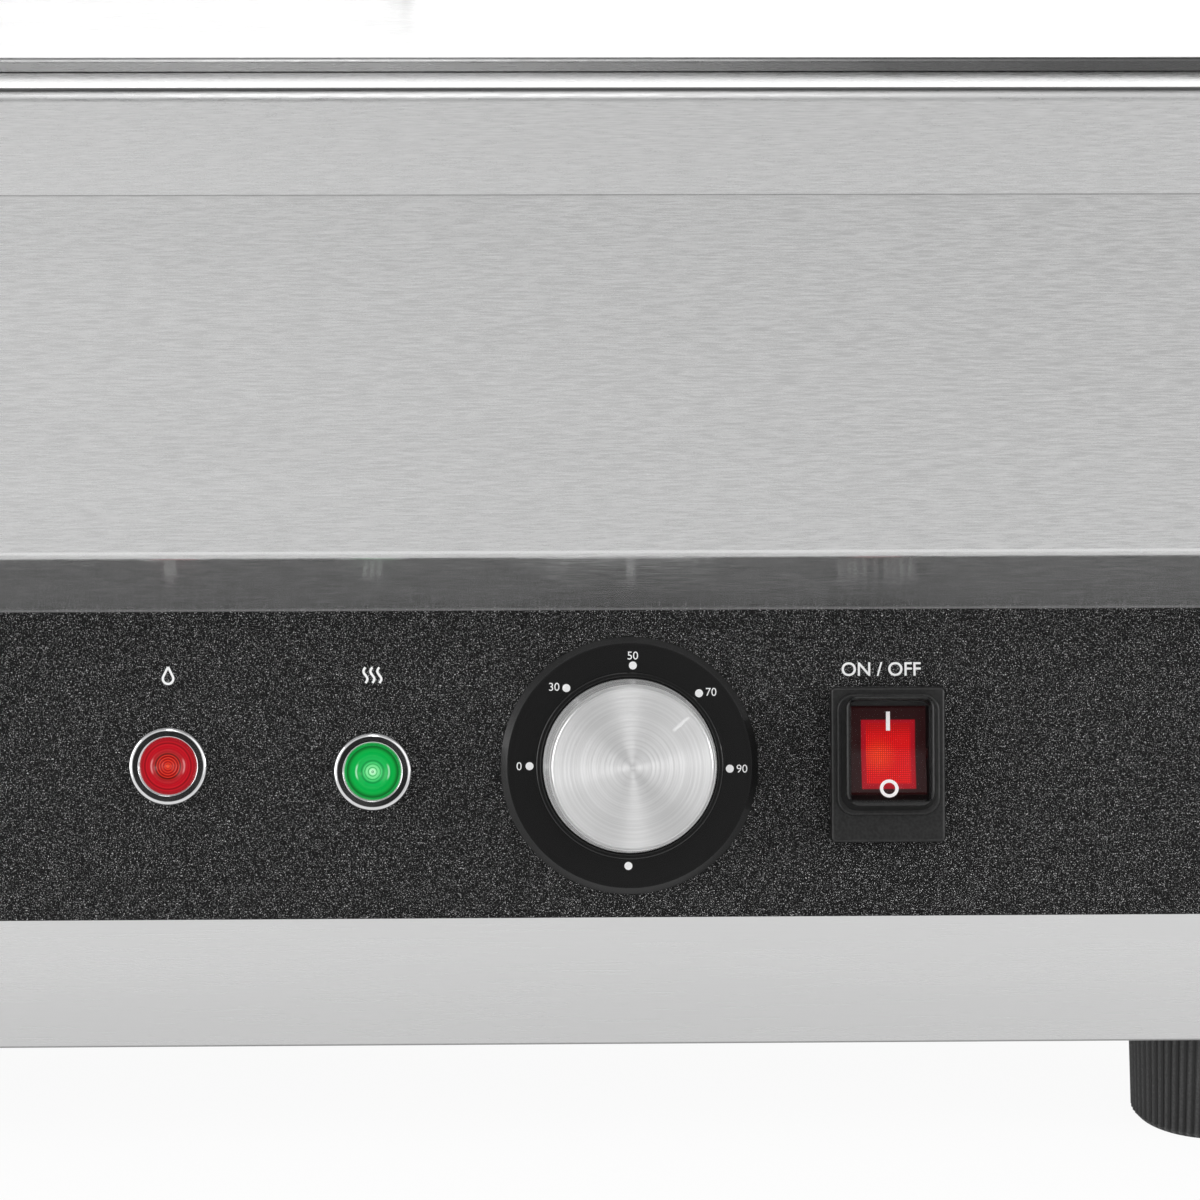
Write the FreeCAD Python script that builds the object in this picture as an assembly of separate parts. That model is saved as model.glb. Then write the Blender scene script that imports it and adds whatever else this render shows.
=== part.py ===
"""Countertop water-bath food warmer: stainless body, heated tank, two food pans, hinged flat lid.

Millimetres. +X is the right-hand end, -Y the operator's side, +Z up, and the feet stand on Z = 0.
"""
import FreeCAD, Part
import math
import os

V = FreeCAD.Vector

# Food pans: the width, depth and height of the whole body follow from them
PAN_WIDTH = 265.0
PAN_LENGTH = 325.0
PAN_DEPTH = 100.0
PAN_RIM = 12.0
PAN_DRAFT = 5.0
PAN_SHEET = 1.0
PAN_CORNER = 28.0
PAN_RIM_CORNER = 14.0
PAN_FLOOR_BEND = 12.0
PAN_OPENING_GAP = 1.5

# Body, from the table up
SHEET = 1.0
FOOT_HEIGHT = 28.4
BASE_HEIGHT = 31.3
PANEL_LENGTH = 71.3
PANEL_TILT = 17.0
RETURN_DROP = 18.7
APRON_HEIGHT = 23.5
APRON_GAP = 0.2
DECK_MARGIN_X = 23.5
DECK_MARGIN_Y = 26.0
DECK_INNER_BEND = 1.8
DECK_CORNER = 4.0
WALL_BEND = 3.0
FLANGE = 12.0
FLANGE_HOLE_GAP = 0.2

# Tank and the bar that carries the pans' inner rims
LEDGE_DEPTH = 6.0
LEDGE_WIDTH = 11.0
TANK_LIFT = 0.7
TANK_WELD_FLANGE = 7.0
WATER_GAP = 7.2
BAR_WIDTH = 16.0
BAR_HEIGHT = 12.0

# Lid, handle and hinges
LID_FRONT_MARGIN = 18.2
LID_REAR_MARGIN = 22.0
LID_SIDE_MARGIN = 17.0
LID_HEIGHT = 3.0
LID_GAP = 0.3
LID_CORNER = 10.0
LID_INNER_BEND = 0.2
HANDLE_LENGTH = 120.0
HANDLE_HEIGHT = 34.0
HANDLE_R = 5.0
HANDLE_BEND = 12.0
HANDLE_WASHER_R = 9.0
HANDLE_WASHER = 1.5
HINGE_X = 180.0
HINGE_OFFSET = 6.7
HINGE_SHEET = 1.2
HINGE_WIDTH = 50.0
KNUCKLE_WIDTH = 12.0
KNUCKLE_R = 3.5
KNUCKLE_GAP = 0.3
LEAF_REACH = 20.0
PIN_R = 2.0
RUNNING_FIT = 0.05

# Feet
FOOT_INSET_X = 43.4
FOOT_INSET_Y = 26.0
FOOT_R = 19.0
FOOT_DRAFT = 1.6
FOOT_RIBS = 60
RIB_DEPTH = 0.6
FOOT_CHAMFER = 1.2
FOOT_GAP = 0.3
STUD_R = 4.0
STUD_BOTTOM = 6.0
STUD_TOP_SPARE = 3.0
NUT_FLAT = 13.0
NUT_HEIGHT = 6.5

# Bottom cover
COVER_MARGIN_X = 85.0
COVER_MARGIN_Y = 62.0
COVER_LAP = 9.0
VENT_LENGTH = 60.0
VENT_WIDTH = 4.0
VENT_PITCH = 12.0
VENT_COUNT = 6
SCREW_R = 2.0
SCREW_HEAD_R = 3.4
SCREW_HEAD = 1.6
SCREW_SPARE = 3.0

# Control panel: places are (across, up) from the panel's centre
LAMP_PLACES = {"dry": (0.0, -0.2), "heat": (47.0, -1.7)}
DIAL_PLACE = (106.2, -0.6)
SWITCH_PLACE = (165.8, 1.8)
PANEL_SIDE_GAP = 0.2

LAMP_LENS_R = 6.0
LAMP_RIM = 3.0
LAMP_ROUND = 0.9
LAMP_FUNNEL = 0.85
LAMP_STEP = 1.0
LAMP_HEAD = 2.8
LENS_RIDGE_R = 3.7
LENS_RIDGE = 0.9
LENS_RINGS = 3
LENS_RING_PITCH = 0.8
LENS_RING_RISE = 0.25
LAMP_SEAT = 0.6
LAMP_SLEEVE = 8.0
LAMP_BODY = 22.0
LAMP_NUT_FLAT = 15.0
LAMP_NUT = 3.0
HOLE_GAP = 0.1

DIAL_SCALE_WIDTH = 8.15
DIAL_THICK = 1.8
DIAL_BEVEL = 1.5
DIAL_RING = 1.2
DIAL_RING_RISE = 0.7
KNOB_R = 20.0
KNOB_TAPER = 1.1
KNOB_HEIGHT = 18.0
KNOB_SKIRT = 2.0
KNOB_LIP = 0.15
KNOB_GROOVE = 0.35
KNOB_GROOVE_DEPTH = 0.5
KNOB_CHAMFER = 0.3
KNOB_GAP = 0.5
KNOB_RING_GAP = 0.4
KNOB_POINTER = 48.0
POINTER_MARGIN = 0.75
POINTER_WIDTH = 0.9
POINTER_LENGTH = 5.0
POINTER_DEPTH = 0.4
SHAFT_R = 3.0
SHAFT_IN = 14.0
SHAFT_OUT = 14.0
BUSH_R = 5.0
THERMOSTAT_WIDTH = 46.0
THERMOSTAT_HEIGHT = 42.0
THERMOSTAT_DEPTH = 28.0
THERMOSTAT_SCREW_X = 14.0
THERMOSTAT_SCREW = 9.0

SWITCH_BEZEL = 2.0
SWITCH_BEZEL_SIDE = 2.5
SWITCH_BEZEL_END = 3.55
SWITCH_WALL_SIDE = 1.2
SWITCH_WALL_END = 2.5
SWITCH_BODY_DEPTH = 24.0
ROCKER_WIDTH = 17.4
ROCKER_HEIGHT = 20.8
ROCKER_DEPTH = 7.0
ROCKER_DISH = 1.6
ROCKER_RISE = 4.2
ROCKER_PIVOT = 2.0
ROCKER_TILT = 9.0
ROCKER_CLEARANCE = 0.8
ROCKER_PIN_R = 1.2
ROCKER_PIN = 1.2
BOOT_SIDE_LAP = 1.2
BOOT_TOP_LAP = 0.8
BOOT_BOTTOM_LAP = 5.6
BOOT_FLANGE = 3.0
BOOT_CORNER = 1.2
BOOT_WALL = 1.0
DOME_SIDE_ROOM = 0.45
DOME_END_ROOM = 1.3
DOME_SIDE_FLARE = 1.0
DOME_END_FLARE = 0.55
DOME_LEAN = 1.1
DOME_STEP = 0.75
DOME_STEP_RISE = 1.2
DOME_STEP_ROUND = 0.5
DOME_CORNER = 4.0
DOME_TOP_CORNER = 3.2
DOME_RISE = 7.0

# Heating, sensing and wiring
HEATER_R = 4.0
HEATER_HEIGHT = 8.0
HEATER_PASSES = 4
HEATER_MARGIN_LEFT = 60.5
HEATER_MARGIN_RIGHT = 30.5
HEATER_MARGIN_Y = 48.0
HEATER_STUB = 14.0
HEATER_PIN_R = 1.5
HEATER_PIN = 9.0
BUSHING_FLOOR_GAP = 0.5
BUSHING = 3.0
BUSHING_NUT_FLAT = 18.0
BUSHING_NUT = 5.0
RAIL_COUNT = 3
RAIL_INSET = 30.0
RAIL_THICK = 1.5
RAIL_SPARE = 10.0
RAIL_FIT = 0.1
BULB_R = 3.0
BULB_LENGTH = 90.0
BULB_INSET = 50.5
BULB_MARGIN = 32.5
BULB_CLIP_THICK = 3.0
CAPILLARY_R = 1.0
CAPILLARY_BEND = 6.0
CAPILLARY_CLEAR = 11.5
CAPILLARY_OFFSET = 9.0
CAPILLARY_GLAND_R = 4.0
CAPILLARY_GLAND = 4.0
LIMIT_R = 8.0
LIMIT_HEIGHT = 10.0
LIMIT_PLACE = (105.0, -35.0)
LIMIT_EAR = 16.0
LIMIT_EAR_THICK = 0.8
LIMIT_TAB = 7.0
LIMIT_TAB_WIDTH = 6.0
LIMIT_TAB_THICK = 1.5
LIMIT_TAB_X = 4.0
TERMINAL_INSET_X = 140.0
TERMINAL_Y = 50.0
TERMINAL_SIZE = (54.0, 22.0, 16.0)
TERMINAL_WAYS = 3
TERMINAL_HOLE_R = 2.2

# Mains cable gland in the rear wall
GLAND_INSET = 90.0
GLAND_RISE = 24.9
GLAND_BORE_R = 4.0
GLAND_THREAD_R = 8.0
GLAND_FLAT = 22.0
GLAND_FLANGE = 5.0
GLAND_DOME = 11.0
GLAND_DOME_R = 9.5
GLAND_INSIDE = 10.0
GLAND_NUT = 5.0

# Drain on the left-hand end
DRAIN_INSET_X = 30.5
DRAIN_INSET_Y = 53.0
DRAIN_DROP = 30.0
DRAIN_BORE_R = 7.5
DRAIN_WALL = 1.5
DRAIN_BEND = 16.0
DRAIN_HOLE_GAP = 0.2
DRAIN_NUT_FLAT = 27.0
DRAIN_NUT = 6.0
VALVE_WALL = 4.0
VALVE_SOCKET = 10.0
VALVE_SEAT = 2.5
VALVE_COLLAR = 2.0
VALVE_COLLAR_LENGTH = 10.0
OUTLET_R = 7.5
OUTLET_DEPTH = 10.0
BALL_BORE_R = 6.0
BALL_WALL = 3.5
BALL_GAP = 0.1
STEM_R = 3.5
STEM_BOSS_R = 7.0
STEM_BOSS = 5.0
STEM_SOCKET = 2.5
LEVER_RISE = 2.0
LEVER_THICK = 2.5
LEVER_HUB_R = 8.0
LEVER_WIDTH = 11.0
LEVER_LENGTH = 58.0
GRIP_LENGTH = 34.0
GRIP_WALL = 1.5

# Levels and planes that follow from the sizes above
TILT = math.radians(PANEL_TILT)
OPENING_X = 2 * PAN_WIDTH + 2 * PAN_OPENING_GAP
OPENING_Y = PAN_LENGTH + 2 * PAN_OPENING_GAP
OPENING_CORNER = PAN_RIM_CORNER + PAN_OPENING_GAP
WELL_X = OPENING_X - 2 * LEDGE_WIDTH
WELL_Y = OPENING_Y - 2 * LEDGE_WIDTH
SIDE = OPENING_X / 2 + DECK_MARGIN_X
REAR = OPENING_Y / 2 + DECK_MARGIN_Y
FRONT = -REAR
BASE_Z = FOOT_HEIGHT
PANEL_Z = BASE_Z + BASE_HEIGHT
PANEL_TOP = (FRONT + PANEL_LENGTH * math.sin(TILT), PANEL_Z + PANEL_LENGTH * math.cos(TILT))
WALL_Z = PANEL_TOP[1] + RETURN_DROP
TANK_Z = PANEL_TOP[1] + TANK_LIFT
TANK_FLOOR_Z = TANK_Z + SHEET
HEATER_Z = TANK_FLOOR_Z + HEATER_HEIGHT
PAN_Z = HEATER_Z + HEATER_R + WATER_GAP
LEDGE_Z = PAN_Z + PAN_DEPTH - PAN_SHEET
DECK_Z = LEDGE_Z + LEDGE_DEPTH
DECK_BEND = DECK_INNER_BEND + SHEET
APRON_OUT = SHEET + APRON_GAP
BODY_CORNER = DECK_CORNER - APRON_OUT
LID_TOP = DECK_Z + LID_GAP + LID_HEIGHT
LID_BEND = LID_INNER_BEND + SHEET
LID_REAR = REAR - LID_REAR_MARGIN
HINGE_Y = LID_REAR + HINGE_OFFSET
HINGE_Z = DECK_Z + KNUCKLE_GAP + KNUCKLE_R
HEATER_BEND = (WELL_Y - 2 * HEATER_MARGIN_Y) / (2 * (HEATER_PASSES - 1))
HEATER_LEFT = HEATER_MARGIN_LEFT + HEATER_BEND - WELL_X / 2
HEATER_RIGHT = WELL_X / 2 - HEATER_MARGIN_RIGHT - HEATER_BEND
HEATER_Y = [HEATER_MARGIN_Y - WELL_Y / 2 + 2 * i * HEATER_BEND for i in range(HEATER_PASSES)]
BUSHING_R = HEATER_HEIGHT - BUSHING_FLOOR_GAP
TANK_RIGHT = WELL_X / 2 + SHEET
LAMP_R = LAMP_LENS_R + LAMP_RIM
LAMP_BORE_R = LAMP_LENS_R - LAMP_STEP
DIAL_RING_R = KNOB_R + KNOB_RING_GAP
DIAL_R = DIAL_RING_R + DIAL_RING + DIAL_SCALE_WIDTH
KNOB_SHOULDER_R = KNOB_R - KNOB_TAPER
KNOB_FACE_R = KNOB_SHOULDER_R - KNOB_LIP - KNOB_GROOVE - KNOB_CHAMFER
WELL_WIDTH = ROCKER_WIDTH + 2 * ROCKER_CLEARANCE
WELL_HEIGHT = ROCKER_HEIGHT + 2 * ROCKER_CLEARANCE
SWITCH_WIDTH = WELL_WIDTH + 2 * SWITCH_BEZEL_SIDE
SWITCH_HEIGHT = WELL_HEIGHT + 2 * SWITCH_BEZEL_END
SWITCH_BODY_WIDTH = WELL_WIDTH + 2 * SWITCH_WALL_SIDE
SWITCH_BODY_HEIGHT = WELL_HEIGHT + 2 * SWITCH_WALL_END
DOME_TOP_WIDTH = ROCKER_WIDTH + 2 * (DOME_SIDE_ROOM + BOOT_WALL)
DOME_TOP_HEIGHT = ROCKER_HEIGHT + 2 * (DOME_END_ROOM + BOOT_WALL)
DOME_WIDTH = DOME_TOP_WIDTH + 2 * DOME_SIDE_FLARE
DOME_HEIGHT = DOME_TOP_HEIGHT + 2 * DOME_END_FLARE
GLAND_X = SIDE - GLAND_INSET
GLAND_Z = PANEL_Z + GLAND_RISE
DRAIN_X = DRAIN_INSET_X - WELL_X / 2
DRAIN_Y = DRAIN_INSET_Y - WELL_Y / 2
DRAIN_Z = TANK_Z - DRAIN_DROP
DRAIN_PIPE_R = DRAIN_BORE_R + DRAIN_WALL
BALL_R = BALL_BORE_R + BALL_WALL
VALVE_R = BALL_R + VALVE_WALL
VALVE_CENTRE = VALVE_SOCKET + VALVE_SEAT + BALL_R
VALVE_LENGTH = VALVE_CENTRE + BALL_R + VALVE_SEAT + OUTLET_DEPTH
PANEL_CENTRE = V(0, (FRONT + PANEL_TOP[0]) / 2, (PANEL_Z + PANEL_TOP[1]) / 2)
PANEL_PLACE = FreeCAD.Placement(PANEL_CENTRE, FreeCAD.Rotation(V(1, 0, 0), 90 - PANEL_TILT))
FOOT_PLACES = {
    "front_left": (FOOT_INSET_X - SIDE, FRONT + FOOT_INSET_Y),
    "front_right": (SIDE - FOOT_INSET_X, FRONT + FOOT_INSET_Y),
    "rear_left": (FOOT_INSET_X - SIDE, REAR - FOOT_INSET_Y),
    "rear_right": (SIDE - FOOT_INSET_X, REAR - FOOT_INSET_Y),
}


# Shapes used more than once


def box(x0, x1, y0, y1, z0, z1):
    """Block between two corners."""
    return Part.makeBox(x1 - x0, y1 - y0, z1 - z0, V(x0, y0, z0))


def rod(radius, start, end):
    """Cylinder from one point to another."""
    return Part.makeCylinder(radius, (end - start).Length, start, end - start)


def edges_along(solid, axis):
    """Straight edges of a solid that run along one axis."""
    found = []
    for edge in solid.Edges:
        run = edge.Vertexes[-1].Point - edge.Vertexes[0].Point
        if edge.Curve.TypeId == "Part::GeomLine" and abs(run.dot(axis)) > 0.999 * run.Length:
            found.append(edge)
    return found


def slab(width, length, z0, z1, corner, centre=(0.0, 0.0)):
    """Upright block about a centre, with its four vertical corners rounded."""
    x, y = centre
    solid = box(x - width / 2, x + width / 2, y - length / 2, y + length / 2, z0, z1)
    return solid.makeFillet(corner, edges_along(solid, V(0, 0, 1)))


def round_rim(solid, z, radius):
    """Round every edge of a solid that lies at one height."""
    rim = [e for e in solid.Edges if all(abs(v.Z - z) < 1e-6 for v in e.Vertexes)]
    return solid.makeFillet(radius, rim)


def outline(corners, to_space):
    """Closed wire through 2-D corners; a third number is that corner's radius."""
    points = [V(c[0], c[1], 0) for c in corners]
    radii = [c[2] if len(c) > 2 else 0.0 for c in corners]
    count = len(points)
    pieces = []
    ends = []
    for i, (point, radius) in enumerate(zip(points, radii)):
        before = (points[i - 1] - point).normalize()
        after = (points[(i + 1) % count] - point).normalize()
        if radius <= 0:
            ends.append((point, point, None))
            continue
        half = before.getAngle(after) / 2
        reach = radius / math.tan(half)
        middle = (before + after).normalize()
        arc_point = point + middle * (radius / math.sin(half) - radius)
        ends.append((point + before * reach, point + after * reach, arc_point))
    for i, (start, end, arc_point) in enumerate(ends):
        if arc_point is not None:
            pieces.append(Part.Arc(to_space(start), to_space(arc_point), to_space(end)).toShape())
        following = ends[(i + 1) % count][0]
        if (following - end).Length > 1e-7:
            pieces.append(Part.LineSegment(to_space(end), to_space(following)).toShape())
    return Part.Wire(pieces)


def prism_x(corners, x0, x1):
    """Solid with a (Y, Z) outline, from one X to another."""
    wire = outline(corners, lambda p: V(x0, p.x, p.y))
    return Part.Face(wire).extrude(V(x1 - x0, 0, 0))


def turned(corners):
    """Solid turned about local Z from a (radius, height) outline."""
    wire = outline(corners, lambda p: V(p.x, 0, p.y))
    return Part.Face(wire).revolve(V(0, 0, 0), V(0, 0, 1), 360)


def inset(corners, distance):
    """Outline moved inwards by a distance; its corners run anticlockwise."""
    count = len(corners)
    moved = []
    for i, corner in enumerate(corners):
        point = V(corner[0], corner[1], 0)
        before = point - V(corners[i - 1][0], corners[i - 1][1], 0)
        after = V(corners[(i + 1) % count][0], corners[(i + 1) % count][1], 0) - point
        before.normalize()
        after.normalize()
        left_before = V(-before.y, before.x, 0)
        left_after = V(-after.y, after.x, 0)
        miter = (left_before + left_after) * (distance / (1 + left_before.dot(left_after)))
        radius = corner[2] if len(corner) > 2 else 0.0
        convex = before.cross(after).z > 0
        if radius > 0:
            radius += -distance if convex else distance
        moved.append((point.x + miter.x, point.y + miter.y, radius))
    return moved


def hexagon(flat, start, end):
    """Hexagonal bar from one point to another, across-flats given."""
    axis = (end - start).normalize()
    side = V(1, 0, 0) if abs(axis.x) < 0.5 else V(0, 1, 0)
    up = axis.cross(side)
    radius = flat / math.sqrt(3)
    ring = []
    for i in range(7):
        turn = math.radians(60 * i)
        ring.append(start + side * (radius * math.cos(turn)) + up * (radius * math.sin(turn)))
    return Part.Face(Part.makePolygon(ring)).extrude(end - start)


def swept(points, bend, radius):
    """Round bar along straight runs joined by tangent arcs."""
    path = []
    last = points[0]
    for i in range(1, len(points) - 1):
        point = points[i]
        before = (points[i - 1] - point).normalize()
        after = (points[i + 1] - point).normalize()
        half = before.getAngle(after) / 2
        reach = bend / math.tan(half)
        middle = (before + after).normalize()
        start = point + before * reach
        end = point + after * reach
        if (start - last).Length > 1e-6:
            path.append(Part.LineSegment(last, start).toShape())
        arc_point = point + middle * (bend / math.sin(half) - bend)
        path.append(Part.Arc(start, arc_point, end).toShape())
        last = end
    path.append(Part.LineSegment(last, points[-1]).toShape())
    first = points[1] - points[0]
    section = Part.Wire([Part.makeCircle(radius, points[0], first)])
    return Part.Wire(path).makePipeShell([section], True, False)


def on_panel(shape, place):
    """Move a shape built about local Z onto the control panel's face."""
    local = FreeCAD.Placement(V(place[0], place[1], 0), FreeCAD.Rotation())
    moved = shape.copy()
    moved.Placement = PANEL_PLACE.multiply(local).multiply(moved.Placement)
    return moved


def joined(solids):
    """One solid from several that meet."""
    return solids[0].fuse(solids[1:]).removeSplitter()


def group(solids):
    """Separate solids that share a node."""
    return Part.makeCompound(solids)


def screw(point, direction, length, head_r=SCREW_HEAD_R, head=SCREW_HEAD):
    """Pan-head screw whose head sits on a point and whose shank runs along a direction."""
    shank = rod(SCREW_R, point, point + direction * length)
    cap = rod(head_r, point - direction * head, point)
    return joined([shank, cap])


# Body


def body_profile():
    """Side view of the body above the base, anticlockwise seen from +X with Y to the right."""
    top = DECK_Z - SHEET
    bend = DECK_BEND - SHEET + APRON_GAP
    return [
        (FRONT, PANEL_Z),
        (REAR, PANEL_Z),
        (REAR, top, bend),
        (FRONT, top, bend),
        (FRONT, WALL_Z, WALL_BEND),
        PANEL_TOP,
    ]


def panel_vectors():
    """Unit vectors (Y, Z) up the panel and into the body."""
    up = V(math.sin(TILT), math.cos(TILT), 0)
    inward = V(math.cos(TILT), -math.sin(TILT), 0)
    return up, inward


def hinge_screw_points(rearward):
    """Screw places on the deck leaves, or on the lid leaves."""
    y = LID_REAR - LEAF_REACH / 2
    if rearward:
        y = (HINGE_Y + KNUCKLE_R + REAR - DECK_BEND / 2) / 2
    z = (DECK_Z if rearward else LID_TOP) + HINGE_SHEET
    spread = HINGE_WIDTH / 3
    return [V(side * HINGE_X + end * spread, y, z) for side in (-1, 1) for end in (-1, 1)]


def body_shell():
    """Wall, underside return, ends and rear, with flanges turned in for the deck and base."""
    profile = body_profile()
    upright = V(0, 0, 1)
    outer = prism_x(profile, -SIDE, SIDE)
    outer = outer.makeFillet(BODY_CORNER, edges_along(outer, upright))
    inner = prism_x(inset(profile, SHEET), -SIDE + SHEET, SIDE - SHEET)
    inner = inner.makeFillet(BODY_CORNER - SHEET, edges_along(inner, upright))
    shell = outer.cut(inner)
    hole_x = SIDE - FLANGE
    shell = shell.cut(box(-hole_x, hole_x, FRONT + FLANGE, REAR - FLANGE, WALL_Z, DECK_Z))
    shell = shell.cut(box(-hole_x, hole_x, FRONT, REAR - FLANGE, BASE_Z, PANEL_Z + 2 * SHEET))
    up, inward = panel_vectors()
    bottom = V(FRONT, PANEL_Z, 0)
    top = V(PANEL_TOP[0], PANEL_TOP[1], 0)
    zone = [
        bottom - inward * FLANGE - up * FLANGE,
        bottom + inward * 2 * FLANGE - up * FLANGE,
        top + inward * 2 * FLANGE,
        top - inward * FLANGE,
    ]
    shell = shell.cut(prism_x([(p.x, p.y) for p in zone], -SIDE + SHEET, SIDE - SHEET))
    lip = [top, top + inward * FLANGE, top + inward * FLANGE + up * SHEET, top + up * SHEET]
    shell = joined([shell, prism_x([(p.x, p.y) for p in lip], -SIDE + SHEET, SIDE - SHEET)])
    holes = [
        rod(GLAND_THREAD_R + DRAIN_HOLE_GAP, V(GLAND_X, REAR - 2 * SHEET, GLAND_Z),
            V(GLAND_X, REAR + SHEET, GLAND_Z)),
        rod(DRAIN_PIPE_R + DRAIN_HOLE_GAP, V(-SIDE - SHEET, DRAIN_Y, DRAIN_Z),
            V(-SIDE + 2 * SHEET, DRAIN_Y, DRAIN_Z)),
    ]
    down = V(0, 0, -1)
    for point in hinge_screw_points(True):
        holes.append(rod(SCREW_R + FLANGE_HOLE_GAP, point, point + down * 3 * SCREW_SPARE))
    return shell.cut(holes)


def top_deck():
    """Deck sheet with a rolled edge, an apron all round and the tank's opening."""
    width = 2 * (SIDE + APRON_OUT)
    depth = 2 * (REAR + APRON_OUT)
    outer = slab(width, depth, DECK_Z - APRON_HEIGHT, DECK_Z, DECK_CORNER)
    outer = round_rim(outer, DECK_Z, DECK_BEND)
    inside_top = DECK_Z - SHEET
    inner = slab(width - 2 * SHEET, depth - 2 * SHEET, DECK_Z - 2 * APRON_HEIGHT, inside_top,
                 DECK_CORNER - SHEET)
    inner = round_rim(inner, inside_top, DECK_BEND - SHEET)
    hole = slab(OPENING_X, OPENING_Y, inside_top - SHEET, DECK_Z + SHEET, OPENING_CORNER)
    deck = outer.cut(inner).cut(hole)
    down = V(0, 0, -1)
    drills = [rod(SCREW_R, p, p + down * 3 * SCREW_SPARE) for p in hinge_screw_points(True)]
    return deck.cut(drills)


def control_panel():
    """Leaning front plate, flanged top and bottom, with holes for its fittings."""
    up, inward = panel_vectors()
    bottom = V(FRONT, PANEL_Z, 0)
    top = V(PANEL_TOP[0], PANEL_TOP[1], 0)
    inner_top = top + inward * SHEET - up * SHEET
    run_down = (inner_top.y - PANEL_Z - SHEET) / math.cos(TILT)
    inner_bottom = inner_top - up * run_down
    profile = [
        bottom,
        bottom + V(FLANGE, 0, 0),
        bottom + V(FLANGE, SHEET, 0),
        inner_bottom,
        inner_top,
        top + inward * FLANGE - up * SHEET,
        top + inward * FLANGE,
        top,
    ]
    half = SIDE - SHEET - PANEL_SIDE_GAP
    plate = prism_x([(p.x, p.y) for p in profile], -half, half)
    holes = []
    for place in LAMP_PLACES.values():
        holes.append(on_panel(local_rod(LAMP_LENS_R + HOLE_GAP, -2 * SHEET, SHEET), place))
    holes.append(on_panel(local_rod(BUSH_R + HOLE_GAP, -2 * SHEET, SHEET), DIAL_PLACE))
    for side in (-1, 1):
        place = (DIAL_PLACE[0] + side * THERMOSTAT_SCREW_X, DIAL_PLACE[1])
        holes.append(on_panel(local_rod(SCREW_HEAD_R, -2 * SHEET, SHEET), place))
    cutout = centred(SWITCH_BODY_WIDTH + 2 * HOLE_GAP, SWITCH_BODY_HEIGHT + 2 * HOLE_GAP,
                     -2 * SHEET, SHEET)
    holes.append(on_panel(cutout, SWITCH_PLACE))
    return plate.cut(holes)


def local_rod(radius, low, high):
    """Cylinder about local Z."""
    return rod(radius, V(0, 0, low), V(0, 0, high))


def centred(width, height, low, high):
    """Block about local Z."""
    return box(-width / 2, width / 2, -height / 2, height / 2, low, high)


def base_frame():
    """Plinth below the panel: four walls, with flanges turned in at the top and bottom."""
    frame = slab(2 * SIDE, 2 * REAR, BASE_Z, PANEL_Z, BODY_CORNER)
    inner = slab(2 * (SIDE - SHEET), 2 * (REAR - SHEET), BASE_Z + SHEET, PANEL_Z - SHEET,
                 BODY_CORNER - SHEET)
    frame = frame.cut(inner)
    top_x = SIDE - FLANGE
    top_y = REAR - FLANGE
    frame = frame.cut(box(-top_x, top_x, -top_y, top_y, PANEL_Z - 2 * SHEET, PANEL_Z + SHEET))
    low_x = SIDE - COVER_MARGIN_X
    low_y = REAR - COVER_MARGIN_Y
    frame = frame.cut(box(-low_x, low_x, -low_y, low_y, BASE_Z - SHEET, BASE_Z + 2 * SHEET))
    holes = []
    for x, y in FOOT_PLACES.values():
        holes.append(rod(STUD_R, V(x, y, BASE_Z - SHEET), V(x, y, BASE_Z + 2 * SHEET)))
    for x, y in cover_screw_places():
        holes.append(rod(SCREW_R, V(x, y, BASE_Z - SHEET), V(x, y, BASE_Z + 2 * SHEET)))
    return frame.cut(holes)


def cover_screw_places():
    """Six screws along the long edges of the bottom cover."""
    y = REAR - COVER_MARGIN_Y + COVER_LAP / 2
    x = SIDE - COVER_MARGIN_X - COVER_LAP
    return [(i * x, side * y) for side in (-1, 1) for i in (-1, 0, 1)]


def bottom_cover():
    """Removable plate under the wiring space, with two rows of vent slots."""
    half_x = SIDE - COVER_MARGIN_X + COVER_LAP
    half_y = REAR - COVER_MARGIN_Y + COVER_LAP
    plate = box(-half_x, half_x, -half_y, half_y, BASE_Z - SHEET, BASE_Z)
    cuts = []
    for side in (-1, 1):
        for i in range(VENT_COUNT):
            y = (i - (VENT_COUNT - 1) / 2) * VENT_PITCH
            x = side * half_x / 2
            cuts.append(slab(VENT_LENGTH, VENT_WIDTH, BASE_Z - 2 * SHEET, BASE_Z + SHEET,
                             0.49 * VENT_WIDTH, (x, y)))
    for x, y in cover_screw_places():
        cuts.append(rod(SCREW_R, V(x, y, BASE_Z - 2 * SHEET), V(x, y, BASE_Z + SHEET)))
    return plate.cut(cuts)


def cover_screws():
    """Screws that hold the bottom cover, heads underneath."""
    up = V(0, 0, 1)
    length = 2 * SHEET + SCREW_SPARE
    return group([screw(V(x, y, BASE_Z - SHEET), up, length) for x, y in cover_screw_places()])


# Feet


def foot(x, y):
    """Round screw-in foot with upright grip ribs, a little wider at the top."""
    top = FOOT_HEIGHT - FOOT_GAP
    levels = [(0.0, FOOT_R - FOOT_CHAMFER, 0.0), (FOOT_CHAMFER, FOOT_R, RIB_DEPTH),
              (top, FOOT_R + FOOT_DRAFT, RIB_DEPTH)]
    rings = []
    for z, radius, depth in levels:
        ring = []
        for i in range(2 * FOOT_RIBS):
            turn = math.pi * i / FOOT_RIBS
            r = radius - depth * (i % 2)
            ring.append(V(x + r * math.cos(turn), y + r * math.sin(turn), z))
        rings.append(Part.makePolygon(ring + ring[:1]))
    solid = joined([Part.makeLoft(rings[:2], True, True), Part.makeLoft(rings[1:], True, True)])
    bore = rod(STUD_R + RUNNING_FIT, V(x, y, STUD_BOTTOM - FOOT_GAP), V(x, y, FOOT_HEIGHT))
    return solid.cut(bore)


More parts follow.
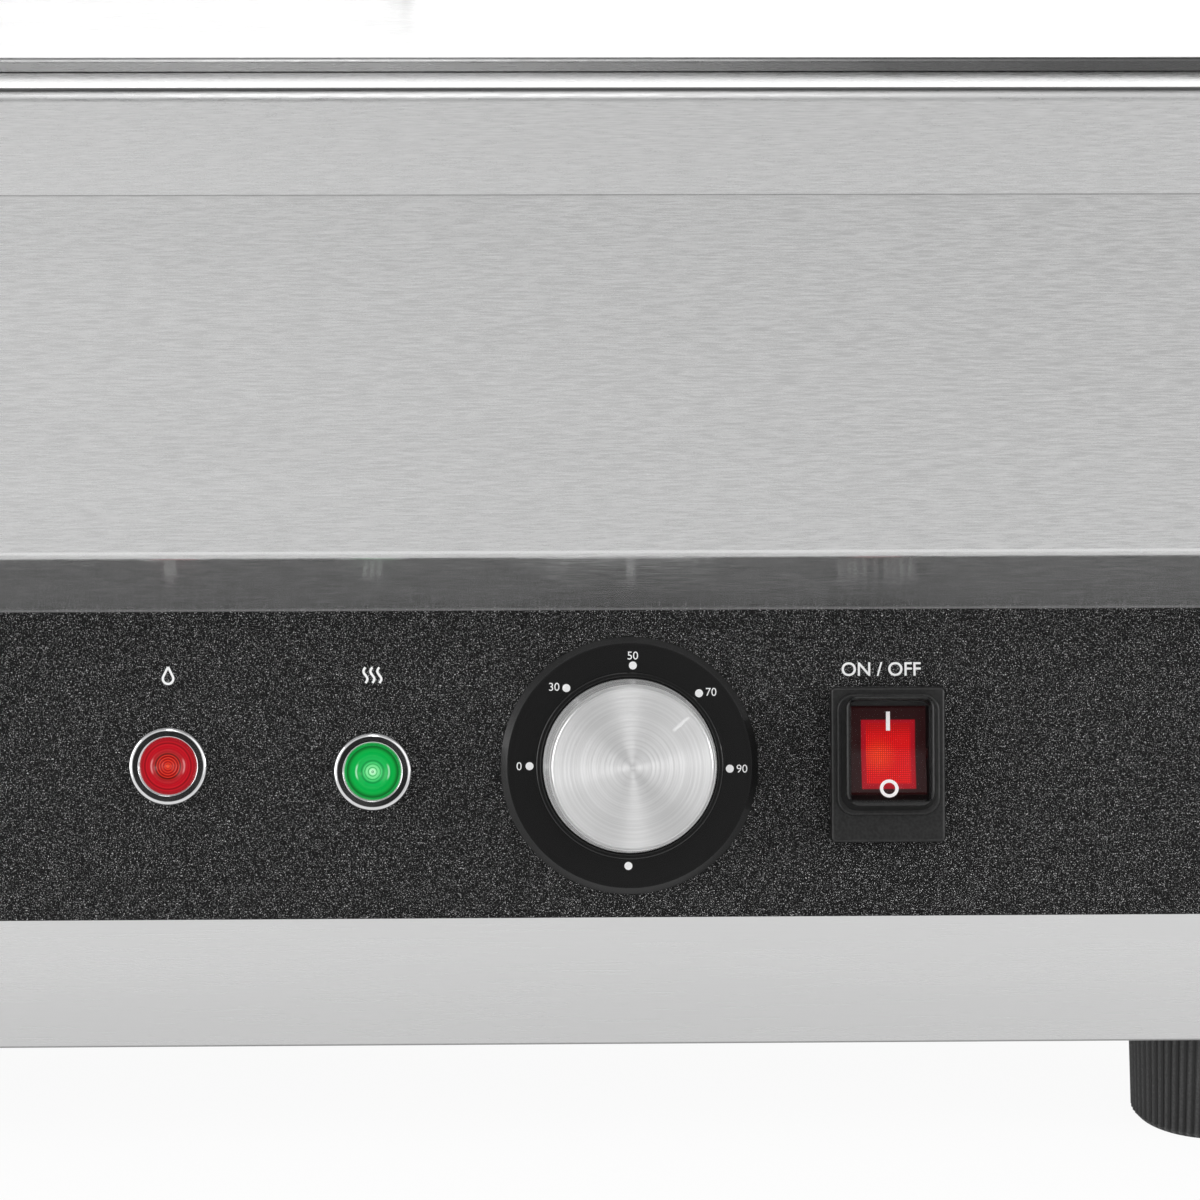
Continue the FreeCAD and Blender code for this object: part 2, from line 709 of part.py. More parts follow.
def foot_studs():
    """Four threaded studs fixed in the base."""
    top = BASE_Z + SHEET + NUT_HEIGHT + STUD_TOP_SPARE
    return group([rod(STUD_R, V(x, y, STUD_BOTTOM), V(x, y, top)) for x, y in FOOT_PLACES.values()])


def foot_nuts():
    """Nuts that hold the studs, inside the base."""
    nuts = []
    low = BASE_Z + SHEET
    for x, y in FOOT_PLACES.values():
        nut = hexagon(NUT_FLAT, V(x, y, low), V(x, y, low + NUT_HEIGHT))
        nuts.append(nut.cut(rod(STUD_R, V(x, y, low - SHEET), V(x, y, low + 2 * NUT_HEIGHT))))
    return group(nuts)


# Tank and pans


def water_tank():
    """Deep tank with a step that carries the pans, welded under the deck."""
    top = DECK_Z - SHEET
    weld_x = OPENING_X + 2 * (SHEET + TANK_WELD_FLANGE)
    weld_y = OPENING_Y + 2 * (SHEET + TANK_WELD_FLANGE)
    step_corner = OPENING_CORNER + SHEET
    outer = joined([
        slab(weld_x, weld_y, top - SHEET, top, step_corner + TANK_WELD_FLANGE),
        slab(OPENING_X + 2 * SHEET, OPENING_Y + 2 * SHEET, LEDGE_Z - SHEET, top, step_corner),
        slab(WELL_X + 2 * SHEET, WELL_Y + 2 * SHEET, TANK_Z, LEDGE_Z, PAN_CORNER + SHEET),
    ])
    tank = outer.cut(slab(OPENING_X, OPENING_Y, LEDGE_Z, DECK_Z, OPENING_CORNER))
    tank = tank.cut(slab(WELL_X, WELL_Y, TANK_FLOOR_Z, DECK_Z, PAN_CORNER))
    right = WELL_X / 2
    cuts = [rod(DRAIN_BORE_R, V(DRAIN_X, DRAIN_Y, TANK_Z - SHEET), V(DRAIN_X, DRAIN_Y, TANK_Z + 2 * SHEET))]
    for y in (HEATER_Y[0], HEATER_Y[-1]):
        cuts.append(rod(HEATER_R, V(right - SHEET, y, HEATER_Z), V(right + 3 * SHEET, y, HEATER_Z)))
    capillary_y = capillary_points()[1].y
    cuts.append(rod(CAPILLARY_R, V(right - SHEET, capillary_y, HEATER_Z),
                    V(right + 3 * SHEET, capillary_y, HEATER_Z)))
    return tank.cut(cuts)


def divider_bar():
    """Channel across the tank that carries the pans' inner rims."""
    half = BAR_WIDTH / 2
    bar = box(-half, half, -WELL_Y / 2, WELL_Y / 2, LEDGE_Z - BAR_HEIGHT, LEDGE_Z)
    hollow = box(SHEET - half, half - SHEET, -WELL_Y / 2, WELL_Y / 2, LEDGE_Z - BAR_HEIGHT,
                 LEDGE_Z - SHEET)
    return bar.cut(hollow)


def rounded_ring(width, length, corner, z, centre_x):
    """Rounded rectangle at one height."""
    x, y = width / 2, length / 2
    corners = [(-x, -y, corner), (x, -y, corner), (x, y, corner), (-x, y, corner)]
    return outline(corners, lambda p: V(centre_x + p.x, p.y, z))


def pan_form(centre_x, thickness, low, high, bend):
    """Tapered tub: the pan's outside, or its inside when a thickness is taken off."""
    width = PAN_WIDTH - 2 * (PAN_RIM + thickness)
    length = PAN_LENGTH - 2 * (PAN_RIM + thickness)
    corner = PAN_CORNER - thickness
    wires = [
        rounded_ring(width - 2 * PAN_DRAFT, length - 2 * PAN_DRAFT, corner - PAN_DRAFT, low, centre_x),
        rounded_ring(width, length, corner, high, centre_x),
    ]
    return round_rim(Part.makeLoft(wires, True, True), low, bend)


def food_pan(side):
    """Half-size food pan whose flat rim rests on the step and the bar."""
    centre_x = side * PAN_WIDTH / 2
    rim_top = LEDGE_Z + PAN_SHEET
    low = rim_top - PAN_DEPTH
    rim = slab(PAN_WIDTH, PAN_LENGTH, LEDGE_Z, rim_top, PAN_RIM_CORNER, (centre_x, 0.0))
    tub = pan_form(centre_x, 0.0, low, LEDGE_Z, PAN_FLOOR_BEND)
    inside = pan_form(centre_x, PAN_SHEET, low + PAN_SHEET, rim_top, PAN_FLOOR_BEND - PAN_SHEET)
    return joined([rim, tub]).cut(inside)


# Heating and sensing


def heater_element():
    """Tubular heater in the tank, its cold ends and pins outside the right-hand wall."""
    right = TANK_RIGHT + HEATER_STUB
    path = []
    last = HEATER_PASSES - 1
    for i, y in enumerate(HEATER_Y):
        near, far = (HEATER_RIGHT, HEATER_LEFT) if i % 2 == 0 else (HEATER_LEFT, HEATER_RIGHT)
        start = right if i == 0 else near
        end = right if i == last else far
        path.append(Part.LineSegment(V(start, y, HEATER_Z), V(end, y, HEATER_Z)).toShape())
        if i == last:
            break
        outward = -HEATER_BEND if end == HEATER_LEFT else HEATER_BEND
        path.append(Part.Arc(V(end, y, HEATER_Z), V(end + outward, y + HEATER_BEND, HEATER_Z),
                             V(end, y + 2 * HEATER_BEND, HEATER_Z)).toShape())
    section = Part.Wire([Part.makeCircle(HEATER_R, V(right, HEATER_Y[0], HEATER_Z), V(1, 0, 0))])
    tube = Part.Wire(path).makePipeShell([section], True, False)
    pins = [rod(HEATER_PIN_R, V(right, y, HEATER_Z), V(right + HEATER_PIN, y, HEATER_Z))
            for y in (HEATER_Y[0], HEATER_Y[-1])]
    return joined([tube] + pins)


def heater_bushings():
    """Sealing flange inside the tank wall and nut outside it, at each heater end."""
    solids = []
    for y in (HEATER_Y[0], HEATER_Y[-1]):
        bore = rod(HEATER_R, V(WELL_X / 2 - 2 * BUSHING, y, HEATER_Z),
                   V(TANK_RIGHT + 2 * BUSHING_NUT, y, HEATER_Z))
        flange = rod(BUSHING_R, V(WELL_X / 2 - BUSHING, y, HEATER_Z), V(WELL_X / 2, y, HEATER_Z))
        nut = hexagon(BUSHING_NUT_FLAT, V(TANK_RIGHT, y, HEATER_Z),
                      V(TANK_RIGHT + BUSHING_NUT, y, HEATER_Z))
        solids += [flange.cut(bore), nut.cut(bore)]
    return group(solids)


def heater_rails():
    """Notched strips on the tank floor that carry the heater's passes."""
    rails = []
    half = HEATER_Y[-1] + RAIL_SPARE
    first = HEATER_LEFT + RAIL_INSET
    pitch = (HEATER_RIGHT - RAIL_INSET - first) / (RAIL_COUNT - 1)
    for i in range(RAIL_COUNT):
        x = first + i * pitch
        rail = box(x - RAIL_THICK / 2, x + RAIL_THICK / 2, -half, half, TANK_FLOOR_Z, HEATER_Z)
        notches = [rod(HEATER_R + RAIL_FIT, V(x - RAIL_THICK, y, HEATER_Z),
                       V(x + RAIL_THICK, y, HEATER_Z)) for y in HEATER_Y]
        rails.append(rail.cut(notches))
    return group(rails)


def capillary_points():
    """Route of the sensing tube, from the thermostat's back to the bulb."""
    up, inward = panel_vectors()
    back = V(PANEL_CENTRE.y, PANEL_CENTRE.z, 0) + up * DIAL_PLACE[1] + inward * (SHEET + THERMOSTAT_DEPTH)
    bulb_y = BULB_MARGIN - WELL_Y / 2
    turn = back + inward * ((bulb_y - back.x) / inward.x)
    x = DIAL_PLACE[0] + CAPILLARY_OFFSET
    outside = TANK_RIGHT + CAPILLARY_CLEAR
    return [
        V(x, back.x, back.y),
        V(x, bulb_y, turn.y),
        V(outside, bulb_y, turn.y),
        V(outside, bulb_y, HEATER_Z),
        V(WELL_X / 2 - BULB_INSET, bulb_y, HEATER_Z),
    ]


def capillary():
    """Thin sensing tube and the bulb that lies in the water."""
    points = capillary_points()
    end = points[-1]
    bulb = rod(BULB_R, end, end - V(BULB_LENGTH, 0, 0))
    return joined([swept(points, CAPILLARY_BEND, CAPILLARY_R), bulb])


def capillary_gland():
    """Small seal where the sensing tube passes the tank wall."""
    y = capillary_points()[1].y
    start = V(TANK_RIGHT, y, HEATER_Z)
    end = V(TANK_RIGHT + CAPILLARY_GLAND, y, HEATER_Z)
    return rod(CAPILLARY_GLAND_R, start, end).cut(rod(CAPILLARY_R, start - V(1, 0, 0), end + V(1, 0, 0)))


def bulb_clips():
    """Two posts on the tank floor that hold the bulb."""
    end = capillary_points()[-1]
    posts = []
    half = BULB_R + BULB_CLIP_THICK / 2
    for share in (0.25, 0.75):
        x = end.x - share * BULB_LENGTH
        post = box(x - BULB_CLIP_THICK / 2, x + BULB_CLIP_THICK / 2, end.y - half, end.y + half,
                   TANK_FLOOR_Z, HEATER_Z)
        posts.append(post.cut(rod(BULB_R, V(x - BULB_CLIP_THICK, end.y, end.z),
                                  V(x + BULB_CLIP_THICK, end.y, end.z))))
    return group(posts)


def limit_thermostat():
    """Snap-disc cut-out under the tank floor that stops the heater when the tank runs dry."""
    x, y = LIMIT_PLACE
    can = rod(LIMIT_R, V(x, y, TANK_Z - LIMIT_HEIGHT), V(x, y, TANK_Z))
    ears = slab(2 * LIMIT_EAR, LIMIT_R, TANK_Z - LIMIT_EAR_THICK, TANK_Z, LIMIT_R / 3, LIMIT_PLACE)
    low = TANK_Z - LIMIT_HEIGHT
    tabs = []
    for side in (-1, 1):
        middle = x + side * LIMIT_TAB_X
        tabs.append(box(middle - LIMIT_TAB_THICK / 2, middle + LIMIT_TAB_THICK / 2,
                        y - LIMIT_TAB_WIDTH / 2, y + LIMIT_TAB_WIDTH / 2, low - LIMIT_TAB, low))
    return joined([can, ears] + tabs)


def terminal_block():
    """Mains terminal block on the bottom cover."""
    x = SIDE - TERMINAL_INSET_X
    y = TERMINAL_Y
    length, depth, height = TERMINAL_SIZE
    block = slab(length, depth, BASE_Z, BASE_Z + height, 2.0, (x, y))
    cuts = []
    for i in range(TERMINAL_WAYS):
        way = x + (i - (TERMINAL_WAYS - 1) / 2) * length / TERMINAL_WAYS
        cuts.append(rod(TERMINAL_HOLE_R, V(way, y - depth, BASE_Z + height / 2),
                        V(way, y + depth, BASE_Z + height / 2)))
    return block.cut(cuts)


# Control panel fittings


def lamp_bezel(place):
    """Plated lamp head with a rounded rim and a funnel to the lens, and its sleeve."""
    profile = [
        (LAMP_BORE_R, -LAMP_SLEEVE),
        (LAMP_LENS_R, -LAMP_SLEEVE),
        (LAMP_LENS_R, 0.0),
        (LAMP_R, 0.0),
        (LAMP_R, LAMP_HEAD, LAMP_ROUND),
        (LAMP_LENS_R + LAMP_FUNNEL, LAMP_HEAD, 0.15),
        (LAMP_LENS_R, LAMP_HEAD - LAMP_FUNNEL),
        (LAMP_LENS_R, LAMP_SEAT),
        (LAMP_BORE_R, LAMP_SEAT),
    ]
    return on_panel(turned(profile), place)


def lamp_lens(place):
    """Coloured lens with a round ridge and fine rings inside it, seated in the bezel."""
    top = LAMP_HEAD - LAMP_FUNNEL - HOLE_GAP
    inner = LENS_RINGS * LENS_RING_PITCH
    profile = [
        (0.0, -LAMP_SLEEVE / 2),
        (LAMP_BORE_R, -LAMP_SLEEVE / 2),
        (LAMP_BORE_R, LAMP_SEAT),
        (LAMP_LENS_R, LAMP_SEAT),
        (LAMP_LENS_R, top),
        (LENS_RIDGE_R + LENS_RIDGE, top),
        (LENS_RIDGE_R, top + LENS_RIDGE, LENS_RIDGE / 2),
        (inner, top),
    ]
    for i in range(LENS_RINGS - 1, 0, -1):
        profile.append(((i + 0.5) * LENS_RING_PITCH, top + LENS_RING_RISE))
        profile.append((i * LENS_RING_PITCH, top))
    profile.append((0.0, top + 2 * LENS_RING_RISE))
    return on_panel(turned(profile), place)


def lamp_body(place):
    """Lamp holder behind the panel, with two terminals."""
    rear = -LAMP_SLEEVE - LAMP_BODY
    tabs = [box(s * 3 - 0.4, s * 3 + 0.4, -1.6, 1.6, rear - 7, rear) for s in (-1, 1)]
    return on_panel(joined([local_rod(LAMP_LENS_R, rear, -LAMP_SLEEVE)] + tabs), place)


def lamp_nuts():
    """Hexagon nuts that hold the lamps behind the panel."""
    nuts = []
    for place in LAMP_PLACES.values():
        nut = hexagon(LAMP_NUT_FLAT, V(0, 0, -SHEET - LAMP_NUT), V(0, 0, -SHEET))
        nuts.append(on_panel(nut.cut(local_rod(LAMP_LENS_R, -2 * LAMP_SLEEVE, 0.0)), place))
    return group(nuts)


def dial_plate():
    """Round scale plate with a bevelled edge and a low ring round the knob."""
    profile = [
        (BUSH_R + HOLE_GAP, 0.0),
        (DIAL_R, 0.0),
        (DIAL_R, 0.3),
        (DIAL_R - DIAL_BEVEL, DIAL_THICK),
        (DIAL_RING_R + DIAL_RING, DIAL_THICK),
        (DIAL_RING_R + DIAL_RING, DIAL_THICK + DIAL_RING_RISE, 0.3),
        (DIAL_RING_R, DIAL_THICK + DIAL_RING_RISE, 0.3),
        (DIAL_RING_R, DIAL_THICK),
        (BUSH_R + HOLE_GAP, DIAL_THICK),
    ]
    return on_panel(turned(profile), DIAL_PLACE)


def thermostat_body():
    """Thermostat behind the panel, with the bush that guides its shaft."""
    body = centred(THERMOSTAT_WIDTH, THERMOSTAT_HEIGHT, -SHEET - THERMOSTAT_DEPTH, -SHEET)
    body = body.makeFillet(3.0, edges_along(body, V(0, 0, 1)))
    body = joined([body, local_rod(BUSH_R, -SHEET, DIAL_THICK)])
    cuts = [local_rod(SHAFT_R + RUNNING_FIT, -SHEET - SHAFT_IN - KNOB_GAP, 2 * DIAL_THICK)]
    for side in (-1, 1):
        x = side * THERMOSTAT_SCREW_X
        cuts.append(rod(SCREW_R, V(x, 0, -THERMOSTAT_SCREW), V(x, 0, 0)))
    return on_panel(body.cut(cuts), DIAL_PLACE)


def thermostat_screws():
    """Two flush screws under the dial plate."""
    screws = []
    for side in (-1, 1):
        x = side * THERMOSTAT_SCREW_X
        shank = rod(SCREW_R, V(x, 0, -THERMOSTAT_SCREW), V(x, 0, -SHEET))
        head = rod(SCREW_HEAD_R, V(x, 0, -SHEET), V(x, 0, 0))
        screws.append(on_panel(joined([shank, head]), DIAL_PLACE))
    return group(screws)


def thermostat_shaft():
    """Turning shaft between the thermostat and the knob."""
    low = -SHEET - SHAFT_IN
    return on_panel(local_rod(SHAFT_R, low, DIAL_THICK + SHAFT_OUT), DIAL_PLACE)


def thermostat_knob():
    """Turned knob: skirt, tapered side, fine groove, chamfered face and pointer slot."""
    low = DIAL_THICK + KNOB_GAP
    top = low + KNOB_HEIGHT
    shoulder = top - KNOB_CHAMFER
    lip = KNOB_FACE_R + KNOB_CHAMFER
    bore_top = DIAL_THICK + SHAFT_OUT
    profile = [
        (SHAFT_R, low),
        (KNOB_R, low),
        (KNOB_R, low + KNOB_SKIRT, 0.3),
        (KNOB_SHOULDER_R, shoulder),
        (lip + KNOB_GROOVE, shoulder),
        (lip + KNOB_GROOVE, shoulder - KNOB_GROOVE_DEPTH),
        (lip, shoulder - KNOB_GROOVE_DEPTH),
        (lip, shoulder),
        (KNOB_FACE_R, top),
        (0.0, top),
        (0.0, bore_top),
        (SHAFT_R, bore_top),
    ]
    groove = box(-POINTER_WIDTH / 2, POINTER_WIDTH / 2, KNOB_FACE_R - POINTER_MARGIN - POINTER_LENGTH,
                 KNOB_FACE_R - POINTER_MARGIN, top - POINTER_DEPTH, top + POINTER_DEPTH)
    groove.rotate(V(0, 0, 0), V(0, 0, 1), -KNOB_POINTER)
    return on_panel(turned(profile).cut(groove), DIAL_PLACE)


def switch_body():
    """Rocker switch housing with its bezel, rocker well and four terminals."""
    bezel = centred(SWITCH_WIDTH, SWITCH_HEIGHT, 0.0, SWITCH_BEZEL)
    body = centred(SWITCH_BODY_WIDTH, SWITCH_BODY_HEIGHT, -SHEET - SWITCH_BODY_DEPTH, 0.0)
    rear = -SHEET - SWITCH_BODY_DEPTH
    tabs = [box(x - 0.4, x + 0.4, y - 3.1, y + 3.1, rear - 8, rear)
            for x in (-5.0, 5.0) for y in (-7.0, 7.0)]
    well = centred(WELL_WIDTH, WELL_HEIGHT, -ROCKER_DEPTH - 4 * ROCKER_CLEARANCE, 2 * SWITCH_BEZEL)
    half = ROCKER_WIDTH / 2 + ROCKER_PIN + ROCKER_CLEARANCE
    pivot = rod(ROCKER_PIN_R + RUNNING_FIT, V(-half, 0, -ROCKER_PIVOT), V(half, 0, -ROCKER_PIVOT))
    return on_panel(joined([bezel, body] + tabs).cut([well, pivot]), SWITCH_PLACE)


def switch_rocker():
    """Lit rocker with a dished face, on two pivot pins, resting with its top end pressed in."""
    half = ROCKER_HEIGHT / 2
    profile = [
        (-half + 1.4, -ROCKER_DEPTH, 1.0),
        (half - 1.4, -ROCKER_DEPTH, 1.0),
        (half, ROCKER_RISE, 0.6),
        (0.0, ROCKER_RISE - ROCKER_DISH, 12.0),
        (-half, ROCKER_RISE, 0.6),
    ]
    solid = prism_x(profile, -ROCKER_WIDTH / 2, ROCKER_WIDTH / 2)
    reach = ROCKER_WIDTH / 2 + ROCKER_PIN
    pins = rod(ROCKER_PIN_R, V(-reach, 0, -ROCKER_PIVOT), V(reach, 0, -ROCKER_PIVOT))
    solid = joined([solid, pins])
    solid.rotate(V(0, 0, -ROCKER_PIVOT), V(1, 0, 0), -ROCKER_TILT)
    return on_panel(solid, SWITCH_PLACE)


def dome_form(shrink, low, high):
    """Domed part of the switch's cover: its outside, or its inside when shrunk."""
    share = (high - BOOT_FLANGE) / DOME_RISE
    wires = []
    for level, width, height, corner, lean in (
        (low, DOME_WIDTH, DOME_HEIGHT, DOME_CORNER, 0.0),
        (high, DOME_WIDTH + share * (DOME_TOP_WIDTH - DOME_WIDTH),
         DOME_HEIGHT + share * (DOME_TOP_HEIGHT - DOME_HEIGHT), DOME_TOP_CORNER, share * DOME_LEAN),
    ):
        x = width / 2 - shrink
        y = height / 2 - shrink
        r = corner - shrink
        corners = [(-x, lean - y, r), (x, lean - y, r), (x, lean + y, r), (-x, lean + y, r)]
        wires.append(outline(corners, lambda p, z=level: V(p.x, p.y, z)))
    return Part.makeLoft(wires, True, True)


def switch_boot():
    """Splash cover over the switch: a frame round the bezel, a step and a hollow dome."""
    top = BOOT_FLANGE + DOME_RISE
    half_x = SWITCH_WIDTH / 2 + BOOT_SIDE_LAP
    half_y = SWITCH_HEIGHT / 2
    frame = box(-half_x, half_x, -half_y - BOOT_BOTTOM_LAP, half_y + BOOT_TOP_LAP, 0.0, BOOT_FLANGE)
    frame = frame.makeFillet(BOOT_CORNER, edges_along(frame, V(0, 0, 1)))
    frame = round_rim(frame, BOOT_FLANGE, 0.6 * BOOT_CORNER)
    step_top = BOOT_FLANGE + DOME_STEP_RISE
    step = slab(DOME_WIDTH + 2 * DOME_STEP, DOME_HEIGHT + 2 * DOME_STEP, BOOT_FLANGE, step_top,
                DOME_CORNER)
    step = round_rim(step, step_top, DOME_STEP_ROUND)
    dome = round_rim(dome_form(0.0, BOOT_FLANGE, top), top, 0.8 * BOOT_WALL)
    boot = joined([frame, step, dome])
    boot = boot.cut(centred(SWITCH_WIDTH, SWITCH_HEIGHT, -SHEET, SWITCH_BEZEL))
    return on_panel(boot.cut(dome_form(BOOT_WALL, SWITCH_BEZEL, top - BOOT_WALL)), SWITCH_PLACE)


# Cable gland


def cable_gland():
    """Gland body through the rear wall with its clamping dome and a clear bore."""
    start = V(GLAND_X, REAR - GLAND_INSIDE, GLAND_Z)
    wall = V(GLAND_X, REAR, GLAND_Z)
    flange_end = V(GLAND_X, REAR + GLAND_FLANGE, GLAND_Z)
    end = V(GLAND_X, REAR + GLAND_FLANGE + GLAND_DOME, GLAND_Z)
    dome = rod(GLAND_DOME_R, flange_end, end)
    rim = [e for e in dome.Edges if all(abs(v.Y - end.y) < 1e-6 for v in e.Vertexes)]
    dome = dome.makeFillet(3.0, rim)
    solid = joined([rod(GLAND_THREAD_R, start, wall), hexagon(GLAND_FLAT, wall, flange_end), dome])
    return solid.cut(rod(GLAND_BORE_R, start - V(0, 1, 0), end + V(0, 1, 0)))


def gland_nut():
    """Lock nut inside the rear wall."""
    high = V(GLAND_X, REAR - SHEET, GLAND_Z)
    low = high - V(0, GLAND_NUT, 0)
    return hexagon(GLAND_FLAT, low, high).cut(rod(GLAND_THREAD_R, low - V(0, 1, 0), high + V(0, 1, 0)))


# Drain


def drain_pipe():
    """Pipe from the tank floor through the left-hand end."""
    points = [V(DRAIN_X, DRAIN_Y, TANK_Z), V(DRAIN_X, DRAIN_Y, DRAIN_Z), V(pipe_end_x(), DRAIN_Y, DRAIN_Z)]
    return swept(points, DRAIN_BEND, DRAIN_PIPE_R).cut(swept(points, DRAIN_BEND, DRAIN_BORE_R))


def valve_start_x():
    """Inner end of the drain valve."""
    return -SIDE - DRAIN_NUT


def pipe_end_x():
    """Outer end of the drain pipe, inside the valve's socket."""
    return valve_start_x() - VALVE_SOCKET


def valve_centre():
    """Centre of the ball."""
    return V(valve_start_x() - VALVE_CENTRE, DRAIN_Y, DRAIN_Z)


def drain_lock_nut():
    """Nut that clamps the drain pipe to the end wall."""
    start = V(-SIDE, DRAIN_Y, DRAIN_Z)
    end = V(valve_start_x(), DRAIN_Y, DRAIN_Z)
    return hexagon(DRAIN_NUT_FLAT, start, end).cut(rod(DRAIN_PIPE_R, start + V(1, 0, 0), end - V(1, 0, 0)))


def drain_valve_body():
    """Ball valve body: socket for the pipe, seat for the ball, boss for the stem, outlet."""
    start = V(valve_start_x(), DRAIN_Y, DRAIN_Z)
    end = start - V(VALVE_LENGTH, 0, 0)
    centre = valve_centre()
    barrel = rod(VALVE_R, start, end)
    rims = [e for e in barrel.Edges if e.Curve.TypeId == "Part::GeomCircle"]
    barrel = barrel.makeFillet(1.2, rims)
    boss = rod(STEM_BOSS_R, centre, centre + V(0, 0, VALVE_R + STEM_BOSS))
    collar = hexagon(2 * VALVE_R + VALVE_COLLAR, end + V(VALVE_COLLAR + VALVE_COLLAR_LENGTH, 0, 0),
                     end + V(VALVE_COLLAR, 0, 0))
    solid = joined([barrel, boss, collar])
    cuts = [
        rod(DRAIN_PIPE_R, start + V(1, 0, 0), V(pipe_end_x(), DRAIN_Y, DRAIN_Z)),
        rod(BALL_BORE_R, start, end - V(1, 0, 0)),
        rod(OUTLET_R, end + V(OUTLET_DEPTH, 0, 0), end - V(1, 0, 0)),
        Part.makeSphere(BALL_R + BALL_GAP, centre),
        rod(STEM_R + RUNNING_FIT, centre, centre + V(0, 0, 2 * VALVE_R)),
    ]
    return solid.cut(cuts)


def drain_ball():
    """Bored ball, turned across the pipe so that the drain is shut."""
    centre = valve_centre()
    ball = Part.makeSphere(BALL_R, centre)
    bore = rod(BALL_BORE_R, centre - V(0, 2 * BALL_R, 0), centre + V(0, 2 * BALL_R, 0))
    socket = rod(STEM_R, centre + V(0, 0, BALL_R - STEM_SOCKET), centre + V(0, 0, 2 * BALL_R))
    return ball.cut(bore).cut(socket)


def lever_z():
    """Underside of the valve lever."""
    return DRAIN_Z + VALVE_R + STEM_BOSS + LEVER_RISE


def drain_stem():
    """Stem between the ball and the lever."""
    centre = valve_centre()
    return rod(STEM_R, centre + V(0, 0, BALL_R - STEM_SOCKET),
               V(centre.x, centre.y, lever_z() + LEVER_THICK + 1.5))


def drain_lever():
    """Flat lever on the stem, pointing to the rear while the drain is shut."""
    centre = valve_centre()
    low = lever_z()
    high = low + LEVER_THICK
    hub = rod(LEVER_HUB_R, V(centre.x, centre.y, low), V(centre.x, centre.y, high))
    half = LEVER_WIDTH / 2
    arm = box(centre.x - half, centre.x + half, centre.y, centre.y + LEVER_LENGTH, low, high)
    tip = rod(half, V(centre.x, centre.y + LEVER_LENGTH, low), V(centre.x, centre.y + LEVER_LENGTH, high))
    solid = joined([hub, arm, tip])
    return solid.cut(rod(STEM_R, V(centre.x, centre.y, low - 1), V(centre.x, centre.y, high + 1)))


def lever_grip():
    """Soft sleeve on the lever's end."""
    centre = valve_centre()
    low = lever_z()
    high = low + LEVER_THICK
    half = LEVER_WIDTH / 2
    start = centre.y + LEVER_LENGTH + half - GRIP_LENGTH
    end = centre.y + LEVER_LENGTH + half + GRIP_WALL
    sleeve = box(centre.x - half - GRIP_WALL, centre.x + half + GRIP_WALL, start, end,
                 low - GRIP_WALL, high + GRIP_WALL)
    sleeve = sleeve.makeFillet(1.4, sleeve.Edges)
    arm = box(centre.x - half, centre.x + half, start - 1, centre.y + LEVER_LENGTH, low, high)
    tip = rod(half, V(centre.x, centre.y + LEVER_LENGTH, low), V(centre.x, centre.y + LEVER_LENGTH, high))
    return sleeve.cut([arm, tip])


# Lid


def handle_x():
    """Centre of each handle leg."""
    return HANDLE_LENGTH / 2 - HANDLE_R


def lid():
    """Flat lid with a short turned-down edge."""
    width = 2 * (SIDE - LID_SIDE_MARGIN)
    depth = LID_REAR - FRONT - LID_FRONT_MARGIN
    middle = (0.0, LID_REAR - depth / 2)
    low = DECK_Z + LID_GAP
    outer = round_rim(slab(width, depth, low, LID_TOP, LID_CORNER, middle), LID_TOP, LID_BEND)
    inside_top = LID_TOP - SHEET
    inner = slab(width - 2 * SHEET, depth - 2 * SHEET, low - LID_HEIGHT, inside_top, LID_CORNER - SHEET,
                 middle)
    inner = round_rim(inner, inside_top, LID_BEND - SHEET)
    drills = [rod(SCREW_R, p, p - V(0, 0, 3 * SCREW_SPARE)) for p in hinge_screw_points(False)]
    for side in (-1, 1):
        x = side * handle_x()
        drills.append(rod(SCREW_R, V(x, 0, LID_TOP - LID_HEIGHT), V(x, 0, LID_TOP + SHEET)))
    return outer.cut(inner).cut(drills)


def lid_handle():
    """Bow handle bent from round bar, tapped in both legs."""
    x = handle_x()
    low = LID_TOP + HANDLE_WASHER
    high = LID_TOP + HANDLE_HEIGHT - HANDLE_R
    points = [V(-x, 0, low), V(-x, 0, high), V(x, 0, high), V(x, 0, low)]
    bow = swept(points, HANDLE_BEND, HANDLE_R)
    return bow.cut([rod(SCREW_R, V(s * x, 0, low - 1), V(s * x, 0, low + 2 * SCREW_SPARE)) for s in (-1, 1)])


def handle_washers():
    """Washers between the handle's legs and the lid."""
    rings = []
    for side in (-1, 1):
        x = side * handle_x()
        disc = rod(HANDLE_WASHER_R, V(x, 0, LID_TOP), V(x, 0, LID_TOP + HANDLE_WASHER))
        rings.append(disc.cut(rod(SCREW_R, V(x, 0, LID_TOP - 1), V(x, 0, LID_TOP + 2 * HANDLE_WASHER))))
    return group(rings)


def handle_screws():
    """Screws from under the lid into the handle."""
    up = V(0, 0, 1)
    length = SHEET + HANDLE_WASHER + 2 * SCREW_SPARE
    return group([screw(V(s * handle_x(), 0, LID_TOP - SHEET), up, length) for s in (-1, 1)])


